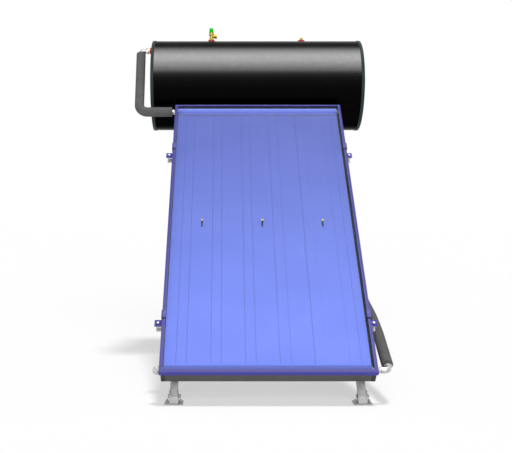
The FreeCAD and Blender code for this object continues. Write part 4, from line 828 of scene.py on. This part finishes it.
vent_base = Vector((VENT_X, TANK_Y, FITTING_Z))
vent = join("vent_fitting", [
    turn([(0.0079, -0.009), (0.0079, 0.0)], vent_base),
    hex_nut(0.0180, 0.0110, vent_base, (0, 0, 1)),
    turn([(0.0085, 0.010), (0.0085, 0.0125), (0.0078, 0.0134), (0.0050, 0.0139), (0.001, 0.0140)],
         vent_base)])
keep(vent, "vent_fitting", "brass", ("vent_plug",))

# %% [markdown]
# The relief valve's spring is squeezed when the spindle lifts: on the real valve its foot follows
# the spindle, its top stays with the valve body, and each turn between them takes a share of the
# motion. Here it is a merged copy of the engineering spring, fixed to neither body.

# %% Relief spring
coil = keep(merged_copy("relief_spring", "relief_coil"), "relief_coil", "spring_steel",
            ("relief_spring",), body=None, smooth=60)
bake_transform(coil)

# %% [markdown]
# ## Pipe fittings
#
# A nickel-plated elbow joins each pipe to its port. A bend is what the spin tool is for: the end
# face of a straight stub is spun round the bend's centre and then extruded along the next leg.

# %% Elbows
BEND_RADIUS = 0.020
STUB_LENGTH = 0.002


def elbow(start, corner, end, radius):
    """A round bar from start to end with one bend at the corner, spun about the bend's centre."""
    arriving = (corner - start).normalized()
    leaving = (end - corner).normalized()
    turned = arriving.angle(leaving)
    setback = BEND_RADIUS * tan(turned / 2)
    inward = (leaving - arriving * cos(turned)).normalized()
    first_leg = (corner - start).length - setback
    second_leg = (end - corner).length - setback
    piece = turn([(radius * 0.94, 0), (radius, STUB_LENGTH / 2), (radius, STUB_LENGTH)],
                 start, arriving)
    only(piece)
    bpy.ops.object.mode_set(mode="EDIT")
    reached = start + arriving * STUB_LENGTH
    pick(piece, "faces", lambda face: (face.calc_center_median() - reached).length < 1e-5)
    bpy.ops.mesh.extrude_region_move(
        TRANSFORM_OT_translate={"value": arriving * (first_leg - STUB_LENGTH)})
    bpy.ops.mesh.spin(steps=12, angle=turned, axis=leaving.cross(arriving).normalized(),
                      center=start + arriving * first_leg + inward * BEND_RADIUS)
    bpy.ops.mesh.extrude_region_move(TRANSFORM_OT_translate={"value": leaving * second_leg})
    close_up()
    return piece


high_header = slope_point(0, PANEL_LENGTH - HEADER_INSET, HEADER_DEPTH)
low_header = slope_point(0, HEADER_INSET, HEADER_DEPTH)
flow_port = Vector((-0.6982, 0.6206, 1.938))
flow_corner = Vector((-0.748, 0.6206, 1.938))
flow_foot = Vector((-0.740, high_header.y, high_header.z))
down = (flow_foot - flow_corner).normalized()
return_start = Vector((0.5322, low_header.y, low_header.z))
return_corner = Vector((0.569, low_header.y, low_header.z))
point_on_pipe = slope_point(0.571, 0.355, 0.166)
rise = (point_on_pipe - return_corner).normalized()

fittings = [
    elbow(flow_port, flow_corner, flow_corner + down * 0.048, 0.0158),
    elbow(return_start, return_corner, return_corner + rise * 0.050, 0.0155),
    hex_nut(0.0330, 0.0200, flow_port + Vector((-0.0005, 0, 0)), (-1, 0, 0), 0.002),
    turn([(0.0150, 0), (0.0166, 0.0008), (0.0166, 0.0040), (0.0150, 0.0050)],
         flow_port + Vector((-0.0200, 0, 0)), (-1, 0, 0)),
    hex_nut(0.0350, 0.0200, return_corner + rise * 0.023, rise, 0.003),
]
keep(join("elbow_fittings", fittings), "elbow_fittings", "nickel_plate", ("pipe_elbows",))

# %% [markdown]
# Union nuts clamp the pipes to the headers. A plug with a wide flange closes the spare header
# end, low on the left. All are round or hexagonal, so turned pieces and hexagon nuts make them.

# %% Union nuts and drain plug
unions = []
for corner, side in ((high_header, -1), (low_header, 1)):
    face = Vector((side * (PANEL_HALF + 0.001), corner.y, corner.z))
    unions.append(hex_nut(0.0290, 0.0096, face, (side, 0, 0), 0.0015))
    unions.append(turn([(0.0135, 0.0090), (0.0140, 0.0100), (0.0140, 0.0150), (0.0130, 0.0160)],
                       face, (side, 0, 0)))
keep(join("union_nuts", unions), "union_nuts", "nickel_plate", ("header_unions",))

stub = Vector((-PANEL_HALF - 0.004, low_header.y, low_header.z))
plug = [
    turn([(0.0138, -0.0005), (0.0138, 0.0010), (0.0128, 0.0044)], stub + Vector((0.004, 0, 0)),
         (-1, 0, 0)),
    turn([(0.0205, 0), (0.0220, 0.0006), (0.0220, 0.0024), (0.0205, 0.0030)], stub, (-1, 0, 0), 40),
    hex_nut(0.0360, 0.0160, stub + Vector((-0.003, 0, 0)), (-1, 0, 0), 0.002),
    turn([(0.0150, 0), (0.0150, 0.0030), (0.0138, 0.0055), (0.0105, 0.0072), (0.0050, 0.0080)],
         stub + Vector((-0.019, 0, 0)), (-1, 0, 0)),
]
keep(join("header_plug", plug), "header_plug", "nickel_plate", ("drain_plug",))

# %% [markdown]
# ## Foam sleeves
#
# Both pipes are wrapped in closed-cell foam tube. Foam is cut with a knife and its ends slump a
# little, so their corners are round. The engineering sleeves already follow the pipes' bends, so
# a merged copy only needs its two ends rounded.

# %% Sleeves with soft ends
SHOULDER = 0.006
for sleeve in ("flow_pipe_insulation", "return_pipe_insulation"):
    soft = merged_copy(sleeve, sleeve + "_soft")
    round_edges(soft, SHOULDER, segments=4, angle=60)
    keep(soft, sleeve + "_soft", "foam_sleeve", (sleeve,), smooth=50)

# %% [markdown]
# ## Finishes
#
# Each finish below is for one material on the real heater. All patterns come from noise, cells
# and the piece's own coordinates, so they need no image and stay sharp at any distance. They vary
# a surface's colour, its roughness and its fine relief, and some colours also carry painted shade
# and painted highlight, which are named where they stand.
#
# The frame and clamps are powder coated. Powder melts into a film with a faint orange peel. The
# collector's outer sides are painted a deeper blue as painted shade, and the blue is painted
# darker up the slope as painted shade as well.

# %% Blue powder coat
def slope_place(finish):
    """How far up the collector's slope a place is, in metres from the low edge."""
    return (finish.axis(1) + finish.axis(2) - (LOW_EDGE.y + LOW_EDGE.z)) * cos(TILT)


LOW_BLUE = (0.105, 0.098, 0.36)
SHADED_HIGH_BLUE = (0.066, 0.062, 0.305)
PALE_BLUE = (0.12, 0.11, 0.40)
SHADED_SIDE_BLUE = (0.058, 0.054, 0.34)
blue = Finish("blue_paint", LOW_BLUE, 0.5, Specular_IOR_Level=0.25)
peel = blue.noise(900, 2)
tone = blue.noise(5, 3)
bar_place = slope_place(blue)
# painted shade: the blue darkens from the low edge up the slope
front_face = blue.blend(bar_place.step(0.15, 1.1), LOW_BLUE, SHADED_HIGH_BLUE)
front_face = blue.blend(tone.step(0.35, 0.65) * 0.12, front_face, PALE_BLUE)
# painted shade: the outer sides of the bars get a darker blue
inside = (bar_place.step(0.0008, 0.0020)
          * (1 - bar_place.step(PANEL_LENGTH - 0.0020, PANEL_LENGTH - 0.0008))
          * (1 - abs(blue.axis(0)).step(PANEL_HALF - 0.0012, PANEL_HALF - 0.0004)))
blue.set(Base_Color=blue.blend(inside, SHADED_SIDE_BLUE, front_face), Roughness=0.44 + peel * 0.12)
blue.bump(peel, 0.00008)
print("blue powder coat")

# %% [markdown]
# The collector's tray is pre-painted steel sheet, darker on the folded tabs at its low corners.

# %% Grey casing paint
CASING_GREY = (0.093, 0.092, 0.093)
TAB_GREY = (0.045, 0.045, 0.046)
casing = Finish("casing_grey", CASING_GREY, 0.55, Specular_IOR_Level=0.25)
dust = casing.noise(22, 5, (1, 3, 3))
tray = casing.blend(dust.step(0.3, 0.7), *shades(CASING_GREY, 0.08))
tabs = abs(casing.axis(0)).step(0.484, 0.487) * (1 - slope_place(casing).step(0.010, 0.014))
casing.set(Base_Color=casing.blend(tabs, tray, TAB_GREY), Roughness=0.48 + dust * 0.14)
casing.bump(casing.noise(700, 2), 0.00006)
print("grey casing paint")

# %% [markdown]
# The absorber is a copper or aluminium sheet with a selective blue film, with soft clouds and fine
# streaks. Its colour is painted darker up the slope as painted shade. The fold over the top header
# is painted lighter as a painted highlight, the fold over the low header is painted darker as
# painted shade, and the film is stained a little darker along the top header's weld.

# %% Selective absorber film
film = Finish("absorber_blue", (0.17, 0.23, 0.72), 0.55, Specular_IOR_Level=0.2)
up_slope = slope_place(film)
along = up_slope / PANEL_LENGTH
# painted shade: the film's colour darkens up the slope, towards the tank
painted_slope_shade = film.ramp(along, (0.00, (0.191, 0.270, 0.955)), (0.14, (0.190, 0.267, 0.935)),
                  (0.50, (0.148, 0.208, 0.735)), (0.80, (0.108, 0.152, 0.573)),
                  (1.00, (0.094, 0.132, 0.500)))
clouds = film.noise(3.2, 3, (1.0, 1.6, 1.6)).step(0.25, 0.75)
streaks = film.noise(60, 3, (0.06, 1, 1)).step(0.2, 0.8)
film_tone = film.blend(clouds * 0.55 + streaks * 0.12, painted_slope_shade,
                       film.node("ShaderNodeMix", {"data_type": "RGBA", "blend_type": "MULTIPLY"},
                                 {0: 1.0, 6: painted_slope_shade, 7: (0.86, 0.87, 0.90, 1)}, output=2))
# painted highlight: a lighter band where the sheet folds over the top header
top_fold_highlight = up_slope.step(1.926, 1.934)
stain = (up_slope.step(1.895, 1.922) * (1 - up_slope.step(1.924, 1.934))
         * film.noise(26, 4, (1, 0.4, 0.4)).step(0.20, 0.55))
# painted shade: a darker band where the sheet folds over the low header
low_fold_shade = 1 - up_slope.step(0.046, 0.062)
film_tone = film.blend(top_fold_highlight, film_tone, (0.210, 0.285, 0.90))
film_tone = film.blend(stain * 0.7, film_tone, (0.085, 0.095, 0.22))
film_tone = film.blend(low_fold_shade * 0.9, film_tone, (0.105, 0.138, 0.50))
film.set(Base_Color=film_tone, Roughness=0.50 + streaks * 0.10)
film.bump(film.noise(7, 2), 0.0004)

marks = Finish("weld_marks", (0.075, 0.085, 0.24), 0.6, Specular_IOR_Level=0.2)
scorch = marks.noise(120, 2)
marks.set(Base_Color=marks.blend(scorch.step(0.3, 0.7), (0.060, 0.068, 0.20), (0.105, 0.125, 0.36)))
print("selective film and weld marks")

# %% [markdown]
# Low-iron glass is almost invisible. A transparent shader lets light straight through, and a
# mirror is mixed in only where Fresnel's law says that glass reflects. The back of the pane gets
# no mirror, because a ray that leaves thin glass is not trapped in it. An index below plain
# glass's 1.5 keeps the mirror faint, so that the blue sheet shows through it.

# %% Clear glass
FAINT_MIRROR_INDEX = 1.18
glass = Finish("glass", (0.96, 0.98, 0.97), 0.03, 1.0)
clear = glass.node("ShaderNodeBsdfTransparent", values={"Color": (0.985, 0.99, 0.988, 1)})
front_only = 1 - glass.node("ShaderNodeNewGeometry", output="Backfacing")
mirror = glass.node("ShaderNodeFresnel", values={"IOR": FAINT_MIRROR_INDEX}) * front_only
glass.mix_shaders(mirror, clear, glass.surface)
smear = glass.noise(9, 4)
glass.set(Roughness=0.02 + smear.step(0.5, 0.8) * 0.05)
print("clear glass")

# %% [markdown]
# Hot-dip galvanised steel is covered with zinc crystals, the spangle. Cells of random brightness
# make it, with a soft cloudiness over them where the zinc cooled at different speeds. Near the
# ground the zinc is painted darker as painted shade.

# %% Galvanised steel
zinc = Finish("galvanised_steel", (0.55, 0.56, 0.555), 0.5, 0.35, Specular_IOR_Level=0.4)
grain = zinc.cell_shades(160)
cloud = zinc.noise(14, 4)
mottle = grain * 0.6 + cloud * 0.5
upper_zinc = zinc.blend(mottle, (0.50, 0.51, 0.505), (0.76, 0.77, 0.765))
# painted shade: the zinc is darker near the ground
shaded_low_zinc = zinc.blend(mottle, (0.36, 0.365, 0.36), (0.56, 0.565, 0.56))
zinc.set(Base_Color=zinc.blend(zinc.axis(2).step(0.14, 0.30), shaded_low_zinc, upper_zinc),
         Roughness=0.36 + grain * 0.14 + cloud * 0.12)
zinc.bump(grain, 0.00004)

print("galvanised steel")

# %% [markdown]
# Many small parts have the same kind of finish: one cloudy pattern of wear, haze or bloom, which
# shows in the colour, in the roughness and sometimes in the relief. The bolts are zinc plated.

# %% Clouded finishes and zinc bolts
def clouded(name, colour, noise, edges, tones, roughness, metallic=0.0, relief=0, **constants):
    """A finish whose one pattern runs between two tones and drives a roughness of (least, span)."""
    finish = Finish(name, colour, metallic=metallic, **constants)
    cloud = finish.noise(*noise)
    finish.set(Base_Color=finish.blend(cloud.step(*edges), *tones),
               Roughness=roughness[0] + cloud * roughness[1])
    if relief:
        finish.bump(cloud, relief)


clouded("zinc_bolts", (0.40, 0.40, 0.40), (160, 3), (0.35, 0.7),
        ((0.20, 0.20, 0.20), (0.56, 0.56, 0.57)), (0.26, 0.22), 0.85, 0.00004)
print("zinc bolts")

# %% [markdown]
# The tank is steel sheet in gloss black enamel. It shows one long reflection and nothing else,
# so its own colour is nearly zero, and a slight waviness of the sheet softens the reflection.
# The rims are a dark blue-grey trim.

# %% Black enamel and rim trim
enamel = Finish("black_enamel", (0.0022, 0.0022, 0.0022), 0.25, 1.0,
                Specular_Tint=(0.5, 0.5, 0.5, 1))
waves = enamel.noise(2.5, 2, (0.5, 1, 1))
enamel.set(Base_Color=enamel.blend(enamel.noise(40, 4).step(0.4, 0.7), (0.0021, 0.0021, 0.0021),
                                   (0.0023, 0.0023, 0.0023)),
           Roughness=0.24 + enamel.noise(60, 3) * 0.02)
enamel.bump(waves, 0.0002)

TRIM_GREY = (0.038, 0.055, 0.059)
clouded("rim_trim", TRIM_GREY, (50, 3), (0.3, 0.7), shades(TRIM_GREY, 0.12), (0.38, 0.08),
        Specular_IOR_Level=0.0275)
print("black enamel and rim trim")

# %% [markdown]
# The sleeves are black closed-cell foam that has faded to grey. Fine cells give it a sparkle of
# lighter and darker grains, and it is quite matt.

# %% Foam sleeve
foam = Finish("foam_sleeve", (0.13, 0.13, 0.13), 0.95, Specular_IOR_Level=0.0)
pores = foam.noise(320, 4, rough=0.7)
patches = foam.noise(30, 3)
foam.set(Base_Color=foam.blend((pores.step(0.35, 0.68) * 0.7 + patches * 0.3), (0.065, 0.065, 0.065),
                               (0.21, 0.207, 0.207)))
foam.bump(pores, 0.0006)
print("foam sleeve")

# %% [markdown]
# The fittings are small and bright: nickel plate on the elbows and nuts, brass on the valve and
# the vent, a green moulded cap, and red silicone gaskets.

# %% Fittings
clouded("nickel_plate", (0.55, 0.55, 0.55), (90, 3), (0.3, 0.75),
        ((0.47, 0.47, 0.47), (0.62, 0.62, 0.62)), (0.16, 0.16), 0.9)
clouded("brass", (0.62, 0.47, 0.08), (130, 4), (0.35, 0.7),
        ((0.46, 0.33, 0.045), (0.72, 0.55, 0.10)), (0.26, 0.2), 0.6, 0.00005)
clouded("red_silicone", (0.60, 0.045, 0.045), (200, 3), (0.3, 0.75),
        ((0.52, 0.035, 0.036), (0.70, 0.060, 0.060)), (0.52, 0.18), Specular_IOR_Level=0.2)

green = Finish("green_plastic", (0.0, 0.62, 0.004), 0.4, Specular_IOR_Level=0.2)
mould = green.noise(400, 2)
green.set(Base_Color=green.blend(green.noise(60, 2), (0.0, 0.58, 0.003), (0.001, 0.68, 0.006)),
          Roughness=0.34 + mould * 0.14)
green.bump(mould, 0.00005)

print("nickel, brass, green cap and red gaskets")

# %% [markdown]
# Rubber, silicone and the glass posts are small parts beside the glass. Rubber blooms: a grey
# haze comes to its surface. The posts' heads are yellow-passivated steel, and their stems and
# clips are painted near-black as painted shadow.

# %% Rubber, grommets and posts
clouded("black_rubber", (0.03, 0.033, 0.031), (150, 4), (0.45, 0.8),
        ((0.022, 0.024, 0.023), (0.055, 0.058, 0.056)), (0.68, 0.18), relief=0.00006,
        Specular_IOR_Level=0.25)

silicone = Finish("pale_silicone", (0.40, 0.55, 0.48), 0.55)
milk = silicone.noise(120, 2)
silicone.set(Base_Color=silicone.blend(milk, (0.34, 0.48, 0.41), (0.48, 0.62, 0.55)),
             Roughness=0.48 + milk * 0.16)

gold = Finish("post_metal", (0.24, 0.20, 0.03), 0.4, 0.5)
below_front = (gold.axis(1) - gold.axis(2) - (LOW_EDGE.y - LOW_EDGE.z)) * cos(TILT)
# painted shadow: the stems and clips below the heads are near-black
stem = below_front.step(0.0125, 0.0150)
gold.set(Base_Color=gold.blend(stem, (0.30, 0.26, 0.04), (0.030, 0.030, 0.028)),
         Roughness=0.34 + gold.noise(300, 3) * 0.2)
print("rubber, silicone and posts")

# %% [markdown]
# The rest is seen only from behind or not at all. The metals are bare aluminium with rolling
# lines, tarnished copper, drawn steel, and the anode's dull magnesium.

# %% Metals inside and behind
def streaked(name, colour, roughness, metallic, stretch, scale, spread, relief):
    """A metal with fine lines from rolling or drawing, and a slow change of tone."""
    metal = Finish(name, colour, roughness, metallic)
    lines = metal.noise(scale, 3, stretch)
    tone = metal.noise(9, 3)
    metal.set(Base_Color=metal.blend((lines * 0.6 + tone * 0.4).step(0.3, 0.7), *shades(colour, spread)),
              Roughness=(roughness - 0.08) + lines * 0.16)
    metal.bump(lines, relief)


streaked("bare_aluminium", (0.62, 0.63, 0.64), 0.40, 0.9, (0.03, 1, 1), 260, 0.08, 0.00003)
streaked("copper", (0.60, 0.30, 0.17), 0.38, 0.95, (0.2, 1, 1), 120, 0.22, 0.00004)
streaked("vessel_steel", (0.42, 0.42, 0.43), 0.42, 0.9, (0.05, 1, 1), 180, 0.12, 0.00003)
streaked("pipe_steel", (0.62, 0.52, 0.24), 0.34, 0.7, (0.1, 1, 1), 200, 0.12, 0.00003)
streaked("spring_steel", (0.50, 0.50, 0.52), 0.30, 0.95, (1, 1, 0.2), 400, 0.10, 0.00002)
streaked("magnesium", (0.52, 0.52, 0.53), 0.60, 0.7, (0.3, 1, 1), 140, 0.16, 0.00010)
print("streaked metals")

# %% [markdown]
# Mineral wool fills the collector and yellow foam fills the tank's casing. Both are matt clumps
# of two tones. The wool's clumps are drawn out along the panel's width, as its fibres lie.

# %% Wool and foam inside
def matted(name, dark, light, scale, stretch, relief):
    """A soft filling: clumps of two tones with a rough surface."""
    filling = Finish(name, light, 0.95, Specular_IOR_Level=0.1)
    clumps = filling.noise(scale, 6, stretch, 0.7)
    filling.set(Base_Color=filling.blend(clumps.step(0.3, 0.7), dark, light))
    filling.bump(clumps, relief)


matted("mineral_wool", (0.115, 0.132, 0.120), (0.200, 0.222, 0.204), 90, (0.4, 1, 2), 0.003)
matted("polyurethane_foam", (0.62, 0.48, 0.22), (0.80, 0.69, 0.40), 60, (1, 1, 1), 0.001)
print(len(finishes), "finishes")

# %% [markdown]
# ## Dressing
#
# Every engineering part that is still shown takes the finish of its material slot, and every new
# piece takes the finish it was made with. The tank, its covers and its seam join the softbox's
# collection.

# %% Put the finishes on
slot_of = {part["node"]: part["material_slot"] for part in frame["record"]["subparts"]}
for name, part in nodes.items():
    part.data.materials.clear()
    part.data.materials.append(finishes[slot_of[name]].material)
for piece in made:
    piece.data.materials.clear()
    piece.data.materials.append(finishes[piece["finish"]].material)
for piece in (nodes["tank_casing"], nodes["left_end_cover"], nodes["right_end_cover"], seam):
    lit_by_box.objects.link(piece)
print(len(made), "pieces made,", len(nodes), "parts dressed")
